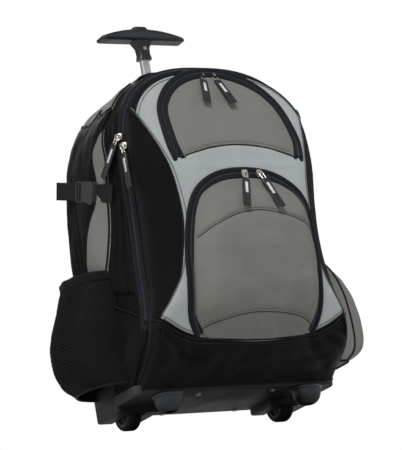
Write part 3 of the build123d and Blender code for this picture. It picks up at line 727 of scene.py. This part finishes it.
def draped(obj, surface):
    """The surface moved on to a finished cloth, so that sewing follows its folds."""
    tree = BVHTree.FromPolygons([v.co / MM for v in obj.data.vertices],
                                [tuple(f.vertices) for f in obj.data.polygons])

    def on_cloth(line):
        points = []
        for p, n in zip(surface(line), surface.normals(line)):
            hit = tree.ray_cast(Vector(p + n * 20.0), Vector(-n), 40.0)[0]
            points.append(tuple(hit) if hit else tuple(p + n * 3.0))
        return np.array(points)
    return Surface(on_cloth, surface.out)


def zipper(name, path, normal, half, lift, gap, bulge, pitch=2.0):
    """Tape, two folded welts and a coil of teeth along a 3-D path, whose ends dive into the cloth."""
    parts = []
    along = np.concatenate([[0.0], np.cumsum(np.linalg.norm(np.diff(path, axis=0), axis=1))])
    to_end = np.minimum(along, along[-1] - along)
    path = path - np.asarray(normal) * (7.0 * (1.0 - smooth(to_end / 9.0)))[:, None]
    tape = [(-half, -1.0), (half, -1.0), (half, 0.3), (-half, 0.3)]
    parts.append(sweep(name + "_tape", path, normal, [(s, h + lift) for s, h in tape], M["zip_tape"]))
    for side in (-1, 1):
        run = [((gap + half) / 2 + (half - gap) / 2 * math.cos(a), lift + bulge * math.sin(a))
               for a in np.linspace(0, math.pi, 9)] + [(gap, lift - 0.4), (half, lift - 0.4)]
        run = [(side * s, h) for s, h in run][::side]
        parts.append(sweep(name + "_welt", path, normal, run, M["zip_tape"]))
    tangent, across, up = frames(path, normal)
    total = np.linalg.norm(np.diff(path, axis=0), axis=1).sum()
    count = int(total / pitch)
    at = resample(np.hstack([path, across, up, tangent]), count)
    verts, faces = [], []
    for k, row in enumerate(at):
        p, a, u, t = row[:3], row[3:6], row[6:9], row[9:12]
        swing = 0.35 if k % 2 else -0.35
        base = len(verts)
        for s in (-gap * 0.8, gap * 0.8):
            for h, w in ((0.1, 0.75), (1.0, 0.45)):
                for d in (-w, w):
                    verts.append(p + a * (s + swing) + u * (lift + h) + t * d)
        faces += [tuple(base + i for i in f) for f in ((0, 1, 3, 2), (4, 6, 7, 5), (0, 4, 5, 1), (2, 3, 7, 6),
                                                       (0, 2, 6, 4), (1, 5, 7, 3))]
    parts.append(make_object(name + "_coil", verts, faces, M["coil"], False))
    return join(name, parts)


def arch_at(y):
    """The front arch carried back to depth y, rounding in to the back."""
    x, z = EDGE.T
    scale = (arch_top(y) - SHOULDER_Z) / (arch_top(FRONT_Y) - SHOULDER_Z)
    z = np.where(z > SHOULDER_Z, SHOULDER_Z + (z - SHOULDER_Z) * scale, z)
    over = np.clip((y - (BACK_PLANE - BACK_RADIUS)) / BACK_RADIUS, 0.0, 1.0)
    inset = BACK_RADIUS * (1.0 - np.sqrt(np.maximum(0.0, 1.0 - over ** 2)))
    x = x * flank(EDGE[:, 1], y) / side_half(EDGE[:, 1])
    return np.stack([x + EDGE_IN[:, 0] * inset, np.broadcast_to(y, x.shape), z + EDGE_IN[:, 1] * inset], 1)


def gusset():
    """The band that runs up one side, over the top and down the other, with the rounded back edge."""
    z = EDGE[:, 1]
    start = front_edge(z)
    rows, sunk = [], []
    below_shoulder = np.clip((365.0 - z) / 50.0, 0.05, 1.0)
    for ahead, depth in ((26.0, 12.0), (18.0, 10.0), (10.0, 7.0), (3.0, 3.0)):
        rows.append(arch_at(start - ahead * below_shoulder))
        sunk += [depth] * len(z)
    for s in np.linspace(0.0, 1.0, 34):
        rows.append(arch_at(start + s * (100.0 - start)))
    for a in np.linspace(0.12, 1.0, 9):
        rows.append(arch_at(100.0 + BACK_RADIUS * math.sin(a * math.pi / 2) * np.ones(len(z))))
    verts = np.vstack(rows)
    lift = 1.6 * crinkle(verts, 46.0, 3) + 0.7 * crinkle(verts, 17.0, 4)
    lift *= np.clip((verts[:, 1] + 60) / 30.0, 0.0, 1.0)
    lift[:len(sunk)] -= sunk
    out = np.tile(np.insert(-EDGE_IN, 1, 0.0, axis=1), (len(rows), 1))
    verts = verts + out * (lift - 1.0)[:, None]
    return make_object("gusset", verts, grid_faces(len(rows), len(z), flip=True), M["black_fabric"])


def back_sheet():
    """The flat back, filled in rings round its middle."""
    loop = arch_at(np.full(len(EDGE), BACK_PLANE - 0.2))[::4]
    middle, n = loop.mean(0), len(loop)
    rings = [middle + (loop - middle) * k for k in np.linspace(1.0, 0.0, 9)[:-1]]
    last = (len(rings) - 1) * n
    faces = grid_faces(len(rings), n, True) + [(last + i, last + (i + 1) % n, last + n) for i in range(n)]
    return make_object("back_sheet", np.vstack(rings + [middle[None]]), faces, M["black_fabric"])


def sewn(name, parts, slot_name, *replaced, pad=None):
    """Parts joined into one piece of the bag."""
    place(join(name, parts), "bag", slot_name, *replaced, pad=pad)


# ---------------------------------------------------------------- the bag's body
sewn("rear_body", [gusset(), back_sheet()], "black_fabric", "rear_compartment")

FRONT_OUTLINE = arch_points(FRONT_Y, 200, 0.6, 40.0)


def pocket_outline(half, top, amount, foot):
    """The pocket's cloth inside its zipper, closed along the bottom."""
    run = shrink(closed_outline(half, top), amount)
    return resample(np.vstack([run, np.array(foot, float)]), 360, True)


lower_cloth = pocket_outline(LOWER_HALF, LOWER_TOP, 6.5, [(70, 80), (0, 75), (-70, 80)])
top_cloth = pocket_outline(TOP_HALF, TOP_TOP, 6.5, [(84, 331), (43, 342), (0, 346), (-43, 342), (-84, 331)])
GREY_HALF = [(146, 114), (130, 138), (115, 166), (107, 200), (103, 235), (104, 270), (108, 305), (117, 345),
             (128, 385), (137, 418)]


def grey_outline():
    arch = arch_points(FRONT_Y, 400, 8.5)
    top = arch[(np.abs(arch[:, 0]) < 134.0) & (arch[:, 1] > 390.0)]
    right = spline(GREY_HALF, 70)
    left = right * [-1, 1]
    foot = spline([(-146, 111), (-110, 92), (-60, 80), (0, 76), (60, 80), (110, 92), (146, 111)], 60)
    return resample(np.vstack([foot, right, top[::-1], left[::-1]]), 420, True)


GREY = grey_outline()


def towards_middle(line, amount):
    away = line.mean(0) - line
    return line + away / np.linalg.norm(away, axis=1)[:, None] * amount


front_black = panel("front_black", FRONT_OUTLINE, FRONT, M["black_fabric"], puff=1.6, rim=10.0, lift=0.2, tuck=4.0,
                    step=5.0, folds=0.8, fold_size=38.0, holes=[towards_middle(GREY, 12.0)])
front_grey = panel("front_grey", GREY, FRONT, M["light_fabric"], puff=0.9, rim=9.0, lift=2.4, tuck=3.0, step=3.6,
                   folds=0.5, fold_size=42.0,
                   holes=[towards_middle(lower_cloth, 3.0), towards_middle(top_cloth, 3.0)])
trim = [piping("front_piping", GREY, FRONT, M["piping"], 1.3, 3.0, True)]
inner_grey = towards_middle(GREY, 4.5)
trim.append(piping("front_inner_seam", inner_grey, FRONT, M["grey_seam"], 0.6, 3.5, True))
trim.append(stitches("front_stitch", inner_grey, FRONT, M["grey_thread"], 3.4, closed=True))
seam_line = np.stack([np.full(20, 0.0), np.linspace(309, 330, 20)], 1)
trim.append(piping("front_seam", seam_line, FRONT, M["grey_thread"], 0.5, 3.0))
sewn("front_body", [front_black, front_grey] + trim, "light_fabric", "front_compartment")


# ---------------------------------------------------------------- pockets on the front
def arc_seam(y_ends, y_middle, half, count=70):
    x = np.linspace(-half, half, count)
    return np.stack([x, y_middle + (y_ends - y_middle) * (x / half) ** 2], 1)


seam_one = arc_seam(212.0, 243.0, 88)
seam_two = arc_seam(97.0, 111.0, 86)
PLEATS = ([(-58, 99), (-46, 92), (-38, 84)], [(-20, 106), (-12, 96), (-8, 84)],
          [(18, 107), (22, 96), (30, 86)], [(48, 103), (54, 94), (66, 88)])
SEAM_DEPTH, SEAM_WIDTH = 2.4, 3.4
lower_panel = panel("lower_cloth", lower_cloth, FRONT, M["grey_fabric"], puff=2.6, rim=11.0, lift=3.4, tuck=6.0,
                    step=3.6, folds=1.9, fold_size=36.0, stretch=(1.0, 1.0, 1.5),
                    dents=[(seam, SEAM_DEPTH, SEAM_WIDTH) for seam in (seam_one, seam_two)]
                    + [(spline(run, 20), 1.8, 3.0) for run in PLEATS])
lower_trim = []
on_lower = draped(lower_panel, FRONT)
for k, seam in enumerate((seam_one, seam_two)):
    lower_trim.append(piping(f"lower_seam_{k}", seam, on_lower, M["seam"], 0.7, 0.1))
    lower_trim.append(stitches(f"lower_seam_stitch_{k}", seam + [0.0, 3.4], on_lower, M["thread"], 0.2))
sewn("lower_pocket_cloth", [lower_panel] + lower_trim, "grey_fabric", "lower_pocket", pad=0.35)

top_panel = panel("top_cloth", top_cloth, FRONT, M["grey_fabric"], puff=1.8, rim=12.0, lift=3.4, tuck=6.0, step=3.6,
                  folds=0.9, fold_size=36.0)
top_line = np.array([(-89, 326), (-84, 331), (-43, 342), (0, 346), (43, 342), (84, 331), (89, 326)], float)
top_low = spline(top_line, 90)
top_trim = [piping("top_low_seam", top_low, FRONT, M["piping"], 1.4, 2.6),
            stitches("top_low_stitch", top_low[6:-6] + [0.0, 4.6], draped(top_panel, FRONT),
                     M["thread"], 0.2)]
sewn("top_pocket_cloth", [top_panel] + top_trim, "grey_fabric", "top_pocket", pad=0.4)


for name, outline in (("lower", LOWER_LINE), ("top", TOP_LINE)):
    run = shrink(outline, 2.6)
    chain = zipper(name + "_zip", FRONT(run), FRONT.normals(run), half=8.6, lift=4.4, gap=1.9, bulge=2.2)
    place(chain, "bag", "zipper", name + "_zipper")


# ---------------------------------------------------------------- main zipper round the front edge
def edge_path(inset, foot, behind, tilt):
    """A path behind the front edge over the arch, and its outward normals tilted towards y."""
    arch = arch_points(FRONT_Y, 420, inset, foot)
    out = np.insert(-inward(arch), 1, tilt, axis=1)
    return (np.insert(arch, 1, front_edge(arch[:, 1]) + behind, axis=1),
            out / np.linalg.norm(out, axis=1)[:, None])


place(zipper("main_zip", *edge_path(0.0, 96.0, 4.0, -0.75), half=8.5, lift=0.8, gap=2.2, bulge=2.0), "bag", "zipper",
      "main_zipper")
place(sweep("gusset_piping", *edge_path(-0.6, 100.0, 15.0, 0.0), around(1.5), M["piping"]), "bag", "black_fabric")

# ---------------------------------------------------------------- side strips and wings
STRIP_REAR = [(-5, 404), (-7, 363), (2, 325), (7, 294), (15, 260), (24, 226), (30, 210), (38, 178)]
STRIP_FRONT = [(-36, 400), (-34, 363), (-30, 325), (-26, 294), (-16, 260), (-12, 226), (-12, 200), (-18, 160)]
SLIVER_FRONT = [(-10, 402), (-12, 363), (-3, 325), (2, 294), (10, 260), (19, 226), (25, 210), (32, 178)]
WING_FRONT = [(4, 404), (20, 384), (22, 365), (19, 335), (27, 305), (41, 287), (54, 266), (61, 242), (66, 222),
              (68, 212)]
SHOULDER_SEAM = [(-13, 432), (10, 434), (36, 438), (44, 450), (60, 436), (80, 441), (112, 450)]


def side_pieces(side):
    tag = "left" if side < 0 else "right"
    side_face = side_surface(side)
    strip = resample(np.vstack([spline(STRIP_FRONT, 60), spline(STRIP_REAR[::-1], 60)]), 240, True)
    body = panel("strip", strip, side_face, M["strip_fabric"], puff=2.2, rim=7.0, lift=0.2, tuck=3.0, step=4.0,
                 folds=0.9, fold_size=30.0)
    front_line, rear_line = spline(STRIP_FRONT, 80), spline(STRIP_REAR, 80)
    parts = [body, piping("strip_rear", rear_line, side_face, M["piping"], 1.6, 1.4),
             stitches("strip_front_stitch", front_line + [4.0, 0.0], side_face, M["thread"], 1.9),
             stitches("strip_rear_stitch", rear_line - [4.0, 0.0], side_face, M["thread"], 2.0)]
    for share in (0.36, 0.68):
        middle = front_line * (1 - share) + rear_line * share
        parts.append(piping("strip_rib", middle, side_face, M["strip_fabric"], 1.1, 2.2))
    sewn("zip_strip_" + tag, parts, "black_fabric")

    sliver = resample(np.vstack([spline(SLIVER_FRONT, 60), spline([(q[0] + 9, q[1]) for q in WING_FRONT][::-1], 60)]),
                      240, True)
    grey = [panel("sliver", sliver, side_face, M["grey_fabric"], puff=1.4, rim=8.0, lift=0.6, tuck=3.0, step=4.0,
                  folds=0.8, fold_size=26.0)]
    seam = spline(SHOULDER_SEAM, 90)
    shoulder = resample(np.vstack([seam, [(112, 470), (60, 474), (0, 473), (-9, 471)]]), 240, True)
    grey.append(panel("shoulder", shoulder, side_face, M["grey_fabric"], puff=2.0, rim=8.0, lift=0.8, tuck=3.0,
                      step=4.0, folds=1.0, fold_size=30.0))
    grey.append(piping("shoulder_seam", seam, side_face, M["piping"], 1.1, 2.6))
    front_top = spline([(-9, 471), (-11, 453), (-13, 432)], 30)
    grey.append(piping("shoulder_front", front_top, side_face, M["piping"], 1.1, 1.6))
    sewn("side_grey_" + tag, grey, "grey_fabric")
    wing_top = spline([(-13, 430), (10, 432), (36, 436), (44, 448), (60, 434), (80, 439), (112, 448)], 60)
    outline = resample(np.vstack([spline(WING_FRONT, 70)[::-1], [(-8, 418)], wing_top, [(113, 330), (113, 214)]]),
                       340, True)
    folds = []
    for k, y in enumerate((74.0, 84.0, 94.0, 104.0)):
        z = np.linspace(218.0, 330.0 + 12.0 * k, 40)
        folds.append((np.stack([y + 3.0 * np.sin(z / 22.0 + k), z], 1), 2.6, 3.6))
    wing = panel("wing", outline, side_face, M["black_fabric"], puff=3.6, rim=9.0, lift=1.4, tuck=3.0, step=3.6,
                 folds=2.0, fold_size=24.0, stretch=(1.0, 1.4, 0.45), dents=folds)
    edge = piping("wing_edge", outline, side_face, M["piping"], 1.3, 1.6, True)
    sewn("wing_cloth_" + tag, [wing, edge], "black_fabric", "wing_" + tag, pad=0.3)


side_pieces(-1)
side_pieces(1)


# ---------------------------------------------------------------- lower boot
def boot_pieces():
    top = [(-153, 112), (-145, 107), (-128, 95), (-100, 85), (-60, 81), (0, 79), (60, 81), (100, 85), (128, 95),
           (145, 107), (153, 112)]
    line = spline(top, 120)
    foot = [(155.5, 60), (154, 31), (80, 31), (0, 31), (-80, 31), (-154, 31), (-155.5, 60)]
    outline = resample(np.vstack([line, np.array(foot, float)]), 360, True)
    creases = [(spline([(-120, 66), (-60, 58), (0, 62), (70, 56), (125, 66)], 60), 2.0, 4.0),
               (spline([(-140, 86), (-90, 70), (-20, 72), (40, 68), (120, 80)], 60), 1.2, 3.0)]
    for run in ([(96, 96), (120, 78), (148, 64)], [(62, 76), (96, 66), (130, 48)],
                [(-148, 98), (-126, 76), (-96, 62)],
                [(-104, 78), (-84, 62), (-50, 50)], [(118, 98), (134, 88), (150, 84)]):
        creases.append((spline(run, 30), 3.4, 4.5))
    front = panel("boot_front", outline, FRONT, M["boot_fabric"], puff=3.4, rim=9.0, lift=2.4, tuck=5.0, step=3.8,
                  folds=4.2, fold_size=36.0, stretch=(0.8, 1.0, 1.7), dents=creases)
    parts = [front, piping("boot_top", line, FRONT, M["piping"], 1.8, 3.2),
             stitches("boot_stitch", line[6:-6] - [0.0, 5.0], draped(front, FRONT), M["thread"], 0.2)]
    for side in (-1, 1):
        side_face = side_surface(side)
        rise = spline([(-42, 112), (-30, 122), (-3, 138), (27, 156), (44, 172), (124, 172)], 80)
        shape = resample(np.vstack([rise, [(124, 40.5), (60, 40.5), (16, 40.5), (-8, 62), (-34, 84), (-42, 100)]]),
                         260, True)
        parts.append(panel("boot_side", shape, side_face, M["black_fabric"], puff=2.6, rim=9.0, lift=0.8, tuck=4.0,
                           step=4.4, folds=1.6, fold_size=34.0))
        parts.append(piping("boot_side_top", rise[:60], side_face, M["piping"], 1.6, 2.4))
    sewn("boot_cloth", parts, "black_fabric", "lower_boot")


boot_pieces()


# ---------------------------------------------------------------- front feet
def domed_foot(centre_x, centre_y):
    """A moulded foot: a flanged plate that narrows to a round, flat-bottomed dome."""
    rows = [(26.0, 19.5, 17.0), (26.0, 21.4, 18.8), (24.6, 22.0, 19.4), (22.8, 22.0, 19.4), (22.2, 20.4, 18.0)]
    for t in np.linspace(0.08, 1.0, 14):
        angle = t * math.pi / 2
        grow = math.cos(angle)
        rows.append((22.0 * (1.0 - math.sin(angle)), 5.0 + 15.2 * grow, 4.5 + 13.3 * grow))
    sides = 48
    verts = []
    for z, rx, ry in rows:
        for k in range(sides):
            a = 2 * math.pi * k / sides
            c, d = math.cos(a), math.sin(a)
            squareness = (abs(c) ** 2.6 + abs(d) ** 2.6) ** (-1 / 2.6)
            verts.append((centre_x + rx * c * squareness, centre_y + ry * d * squareness, max(z, 0.0)))
    last = (len(rows) - 1) * sides
    faces = grid_faces(len(rows), sides, True, flip=True)
    faces += [tuple(range(sides)), tuple(range(last, last + sides))[::-1]]
    return make_object("foot", verts, faces, M["feet"])


low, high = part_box("front_feet")
foot_y = (low[1] + high[1]) / 2 / MM
foot_x = high[0] / MM - 21.0
sewn("domed_feet", [domed_foot(-foot_x, foot_y), domed_foot(foot_x, foot_y)], "base", "front_feet")


# ---------------------------------------------------------------- side pockets
MESH_REACH = Profile([(47, 206), (58, 230), (80, 240), (110, 241), (139, 234), (170, 220), (202, 206),
                      (210, 203)], 4.0)
PANEL_REACH = Profile([(64, 200), (70, 222), (82, 241), (100, 248), (130, 248), (160, 243), (184, 231), (204, 213),
                       (218, 193), (228, 170)], 5.0)
POCKET_Y = (28.0, 124.0)    # both side pockets reach from here to here
POCKET_ROOT = 138.0         # the cloth runs on into the bag's side


def pouch_wall(name, reach, z_range, material, side, folds, seed, grow=0.0, power=2.6):
    """The cloth of a pouch as one even sheet wrapped from edge to edge, and its grid of points."""
    middle, half = sum(POCKET_Y) / 2, (POCKET_Y[1] - POCKET_Y[0]) / 2
    u = np.sin(np.linspace(-math.pi / 2, math.pi / 2, 900))
    across = (1.0 - np.abs(u) ** power) ** (1.0 / power)
    grid = []
    for z in np.linspace(*z_range, 58):
        line = np.stack([POCKET_ROOT + (reach(z) - POCKET_ROOT) * across, middle + half * u, np.full_like(u, z)], 1)
        grid.append(resample(line, 61))
    n, m = len(grid), len(grid[0])
    flat = np.vstack(grid)
    ripple = folds * crinkle(flat * [1.0, 1.2, 0.5], 24.0, seed) + 0.4 * folds * crinkle(flat, 10.0, seed + 3)
    inset = np.minimum(np.abs(flat[:, 1] - POCKET_Y[0]), np.abs(flat[:, 1] - POCKET_Y[1]))
    flat[:, 0] = side * (flat[:, 0] + grow + ripple * np.clip(inset / 6.0, 0.0, 1.0))
    return make_object(name, flat, grid_faces(n, m, flip=side < 0), material), flat.reshape(n, m, 3)


def net(name, grid, material, radius=0.55):
    """Knotted diamonds of cord laid over a grid of points."""
    n, m = grid.shape[:2]
    verts, faces = [], []
    for r in range(n - 1):
        for c in range(m - 1):
            a, b = (grid[r, c], grid[r + 1, c + 1]) if (r + c) % 2 == 0 else (grid[r, c + 1], grid[r + 1, c])
            run = (b - a) / max(np.linalg.norm(b - a), 1e-9)
            side = np.cross(run, [0.3, 0.5, 0.81])
            side /= max(np.linalg.norm(side), 1e-9)
            other = np.cross(run, side)
            faces += grid_faces(2, 3, True, first=len(verts))
            verts += [p + s * side + t * other for p in (a, b) for s, t in around(radius, 3)]
    return make_object(name, verts, faces, material)


def mesh_pocket():
    liner, grid = pouch_wall("mesh_liner", MESH_REACH, (48.0, 203.0), M["lining"], -1, 1.6, 5, -1.6)
    grid = grid + [0.4, 0.0, 0.0]
    parts = [net("mesh_cords", grid - [1.4, 0.0, 0.0], M["mesh"]), liner]
    up = np.tile([-1.0, 0.0, 0.0], (len(grid), 1))
    for column in (0, -1):
        parts.append(sweep("mesh_side", grid[:, column] + [-1.0, 0, 0], up, around(2.0), M["piping"]))
    parts.append(sweep("mesh_foot", grid[0] + [-1.0, 0, 1.0], np.tile([-0.7, 0.0, -0.7], (grid.shape[1], 1)),
                       around(2.2), M["piping"]))
    sewn("mesh_pocket_net", parts, "mesh", "mesh_pocket", pad=0.1)
    top = grid[-1]
    wave = np.sin(np.linspace(0, 46, len(top)))[:, None] * [0.8, 0.0, 0.0]
    rim = sweep("mesh_rim", top + wave + [-1.2, 0, 0], np.tile([-1.0, 0, 0], (len(top), 1)),
                [(-7, -1.0), (7, -1.0), (7, 1.0), (4, 2.0), (0, 1.3), (-4, 2.0), (-7, 1.0)], M["elastic"])
    place(rim, "bag", "elastic", "mesh_pocket_hem")


def side_pocket():
    cloth, grid = pouch_wall("side_cloth", PANEL_REACH, (66.0, 222.0), M["grey_fabric"], 1, 1.0, 11, power=9.0)
    parts = [cloth]
    out = np.tile([1.0, 0.0, 0.0], (len(grid), 1))
    m = grid.shape[1]
    for column in (int(m * 0.28), int(m * 0.72)):
        parts.append(sweep("side_piping", grid[:, column] + [0.8, 0, 0], out, around(1.5), M["piping"]))
    for row, radius in ((0, 2.0), (-1, 1.8)):
        line = grid[row]
        parts.append(sweep("side_rim", line, np.tile([1.0, 0.0, 0.2], (m, 1)), around(radius), M["piping"]))
        base = line * [0.0, 1.0, 1.0] + [POCKET_ROOT, 0.0, 0.0]
        parts.append(make_object("side_close", np.vstack([line, base]), grid_faces(2, m, flip=row < 0),
                                 M["grey_fabric"]))
    sewn("side_pocket_cloth", parts, "grey_fabric", "side_pocket", pad=0.4)


mesh_pocket()
side_pocket()


# ---------------------------------------------------------------- back
BACK = Surface(lambda uv: np.insert(uv, 1, BACK_PLANE + 0.2, axis=1), (0.0, 1.0, 0.0))


def back_pieces():
    low = rounded_outline(111.0, 97.0, 245.0, 16.0, 220)
    channels = [(np.stack([np.linspace(-104, 104, 60), np.full(60, z)], 1), 3.4, 3.0) for z in (134.0, 171.0, 208.0)]
    channels.append((np.stack([np.zeros(50), np.linspace(99, 243, 50)], 1), 3.4, 3.0))
    pad = panel("back_cushion", low, BACK, M["pad"], puff=7.6, rim=8.0, lift=0.6, tuck=2.0, step=3.8, folds=0.8,
                fold_size=40.0, dents=channels)
    edge = piping("back_edge", low, BACK, M["piping"], 1.5, 1.4, True)
    sewn("back_cushion", [pad, edge], "pad", "back_pad", pad=0.7)
    high = rounded_outline(111.0, 255.0, 431.0, 30.0, 240)
    cover = panel("strap_flap", high, BACK, M["black_fabric"], puff=5.4, rim=9.0, lift=0.6, tuck=2.0, step=4.0,
                  folds=1.4, fold_size=44.0)
    line = rounded_outline(104.0, 262.0, 424.0, 26.0, 240)
    parts = [cover, piping("flap_edge", high, BACK, M["piping"], 1.5, 1.4, True),
             stitches("flap_stitch", line, BACK, M["thread"], 6.2, closed=True)]
    mouth = np.stack([np.linspace(-96, 96, 40), np.full(40, 270.0)], 1)
    parts.append(zipper("flap_zip", BACK(mouth), BACK.normals(mouth), half=6.0, lift=5.0, gap=1.8, bulge=1.4))
    sewn("strap_flap", parts, "black_fabric", "strap_cover", pad=0.35)


def rounded_outline(half, low, high, radius, count):
    points = []
    for cx, cz, start in ((half - radius, low + radius, -90), (half - radius, high - radius, 0),
                          (-half + radius, high - radius, 90), (-half + radius, low + radius, 180)):
        for a in np.linspace(start, start + 90, 9):
            points.append((cx + radius * math.cos(math.radians(a)), cz + radius * math.sin(math.radians(a))))
    return resample(np.array(points), count, True)


back_pieces()


# ---------------------------------------------------------------- webbing, handle, buckles
WEB_WIDTH, WEB_THICK = 24.6, 1.4


def ribbon(name, path, normal, width, thick, material, crown=0.35):
    """Flat webbing with thick selvedges."""
    w, t = width / 2, thick / 2
    section = [(-w, -t), (w, -t), (w + 0.3, 0.0), (w, t), (w - 1.8, t + crown), (w - 3.2, t), (0.0, t + crown * 0.4),
               (-w + 3.2, t), (-w + 1.8, t + crown), (-w, t), (-w - 0.3, 0.0)]
    return sweep(name, path, normal, section, material)


def grab_handle():
    low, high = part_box("grab_handle")
    centre_y = (low[1] + high[1]) / 2 / MM
    top = high[2] / MM - 2.2
    half = [(60, 483), (58, 488), (52, 498), (40, top - 4), (20, top)]
    line = spline([(-x, z) for x, z in half] + [(0, top + 0.4)] + half[::-1], 90)
    path = np.insert(line, 1, centre_y, axis=1)
    tangent = np.gradient(line, axis=0)
    up = np.stack([-tangent[:, 1], np.zeros(len(line)), tangent[:, 0]], 1)
    parts = [ribbon("handle_web", path, up, 22.0, 3.0, M["webbing"], 0.6),
             ribbon("handle_grip", path[26:64] + [0, 0, 0.2], up[26:64], 23.0, 3.8, M["black_fabric"], 0.4)]
    sewn("grab_handle_strap", parts, "webbing", "grab_handle")


grab_handle()

STRAP_AT = np.array([-166.5, 48.0, 330.0])
SLOPE = math.radians(21.0)          # the strap climbs towards the back
ALONG = np.array([0.0, math.cos(SLOPE), math.sin(SLOPE)])
OUTWARD = np.array([-1.0, 0.0, 0.0])


def strap_pieces(side):
    tag = "left" if side < 0 else "right"
    flip = np.array([-side, 1.0, 1.0])

    def run(points):
        """Points (along, outward) in the strap's plane, smoothed."""
        line = spline(points, 50)
        path = STRAP_AT + line[:, :1] * ALONG + line[:, 1:] * OUTWARD
        tangent = np.gradient(line, axis=0)
        up = -tangent[:, 1:] * ALONG + tangent[:, :1] * OUTWARD
        return path * flip, up * flip

    front, front_up = run([(-62, -9.5), (-54, -8.0), (-46, -6.0), (-38, -4.6), (-29, -3.4)])
    rear, rear_up = run([(13, -4.4), (30, -5.0), (57, -6.0)])
    parts = [ribbon("strap_front", front, front_up, WEB_WIDTH, WEB_THICK, M["webbing"]),
             ribbon("strap_rear", rear, rear_up, WEB_WIDTH, WEB_THICK, M["webbing"])]
    sewn("strap_" + tag, parts, "webbing", "strap_webbing_" + tag)
    lean = math.radians(24.0)
    reach = 34.0
    tail, tail_up = run([(22.6, 2.6), (30, 2.6 + 7.4 * math.tan(lean)),
                         (22.9 + reach * 0.55, 2.6 + reach * 0.5 * math.sin(lean)),
                         (22.9 + reach * math.cos(lean), 2.6 + reach * math.sin(lean))])
    place(ribbon("strap_end_" + tag, tail, tail_up, WEB_WIDTH, WEB_THICK, M["webbing"]), "clip_" + tag, "webbing",
          "strap_tail_" + tag)


strap_pieces(-1)
strap_pieces(1)

# ---------------------------------------------------------------- zip pulls
PULLS = {
    "lower_pull_left": ((0.0, -109.8, 303.0), (-26.0, -137.0, 240.0), AHEAD_OF_BAG),
    "lower_pull_right": ((24.0, -109.8, 303.0), (33.0, -137.0, 240.0), AHEAD_OF_BAG),
    "top_pull_left": ((-10.0, -62.5, 465.0), (-33.0, -99.0, 408.0), AHEAD_OF_BAG),
    "top_pull_right": ((8.0, -62.5, 465.0), (11.0, -99.0, 408.0), AHEAD_OF_BAG),
    "main_pull_rear": ((-155.7, -47.1, 378.0), (-164.0, -5.0, 333.0), (-1.0, 0.0, 0.0)),
    "main_pull_front": ((-151.7, -49.9, 364.0), (-155.4, -57.0, 290.0), (-1.0, 0.0, 0.0)),
}
PULL_LENGTH = 64.0
LINK_LENGTH = 13.0


def zip_pull(name, pivot, end, outward):
    """A wire link with a moulded tab: raised rim, sunk face, a plain bright strip and grip ribs."""
    pivot = Vector(pivot)
    x = (Vector(end) - pivot).normalized()
    y = Vector(outward).cross(x).normalized()
    z = x.cross(y)
    turn = Matrix((x, y, z)).transposed()

    def at(px, py, pz):
        return pivot + x * px + y * py + z * pz

    corners = ((0.0, -2.6), (0.0, 2.6), (LINK_LENGTH - 3, 2.8), (LINK_LENGTH, 2.4), (LINK_LENGTH, -2.4),
               (LINK_LENGTH - 3, -2.8))
    loop = spline([tuple(at(px, py, 0.0)) for px, py in corners], 60, True)
    parts = [sweep("link", loop, np.tile(tuple(z), (60, 1)), around(0.9), M["slider"], True)]
    start, stop = LINK_LENGTH - 1.5, PULL_LENGTH
    middle, length = (start + stop) / 2, stop - start
    parts.append(rounded_box((length, 11.6, 2.2), 1.0, at(middle, 0, 0), turn, 3, M["tab"]))
    parts.append(rounded_box((7.0, 8.4, 3.2), 1.3, at(start + 3.0, 0, 0), turn, 3, M["tab"]))
    for side in (-1, 1):
        parts.append(rounded_box((length - 4, 1.4, 3.0), 0.5, at(middle, side * 4.9, 0), turn, 2, M["tab"]))
    for k in range(5):
        parts.append(rounded_box((1.3, 7.0, 3.0), 0.5, at(stop - 4.0 - 3.0 * k, 0, 0), turn, 2, M["tab"]))
    parts.append(rounded_box((21.0, 4.4, 2.9), 0.5, at(start + 18.0, 0, 0), turn, 2, M["stripe"]))
    place(join(name + "_tab", parts), name, "pull", name)


for pull_name, (pivot, end, outward) in PULLS.items():
    zip_pull(pull_name, pivot, end, outward)
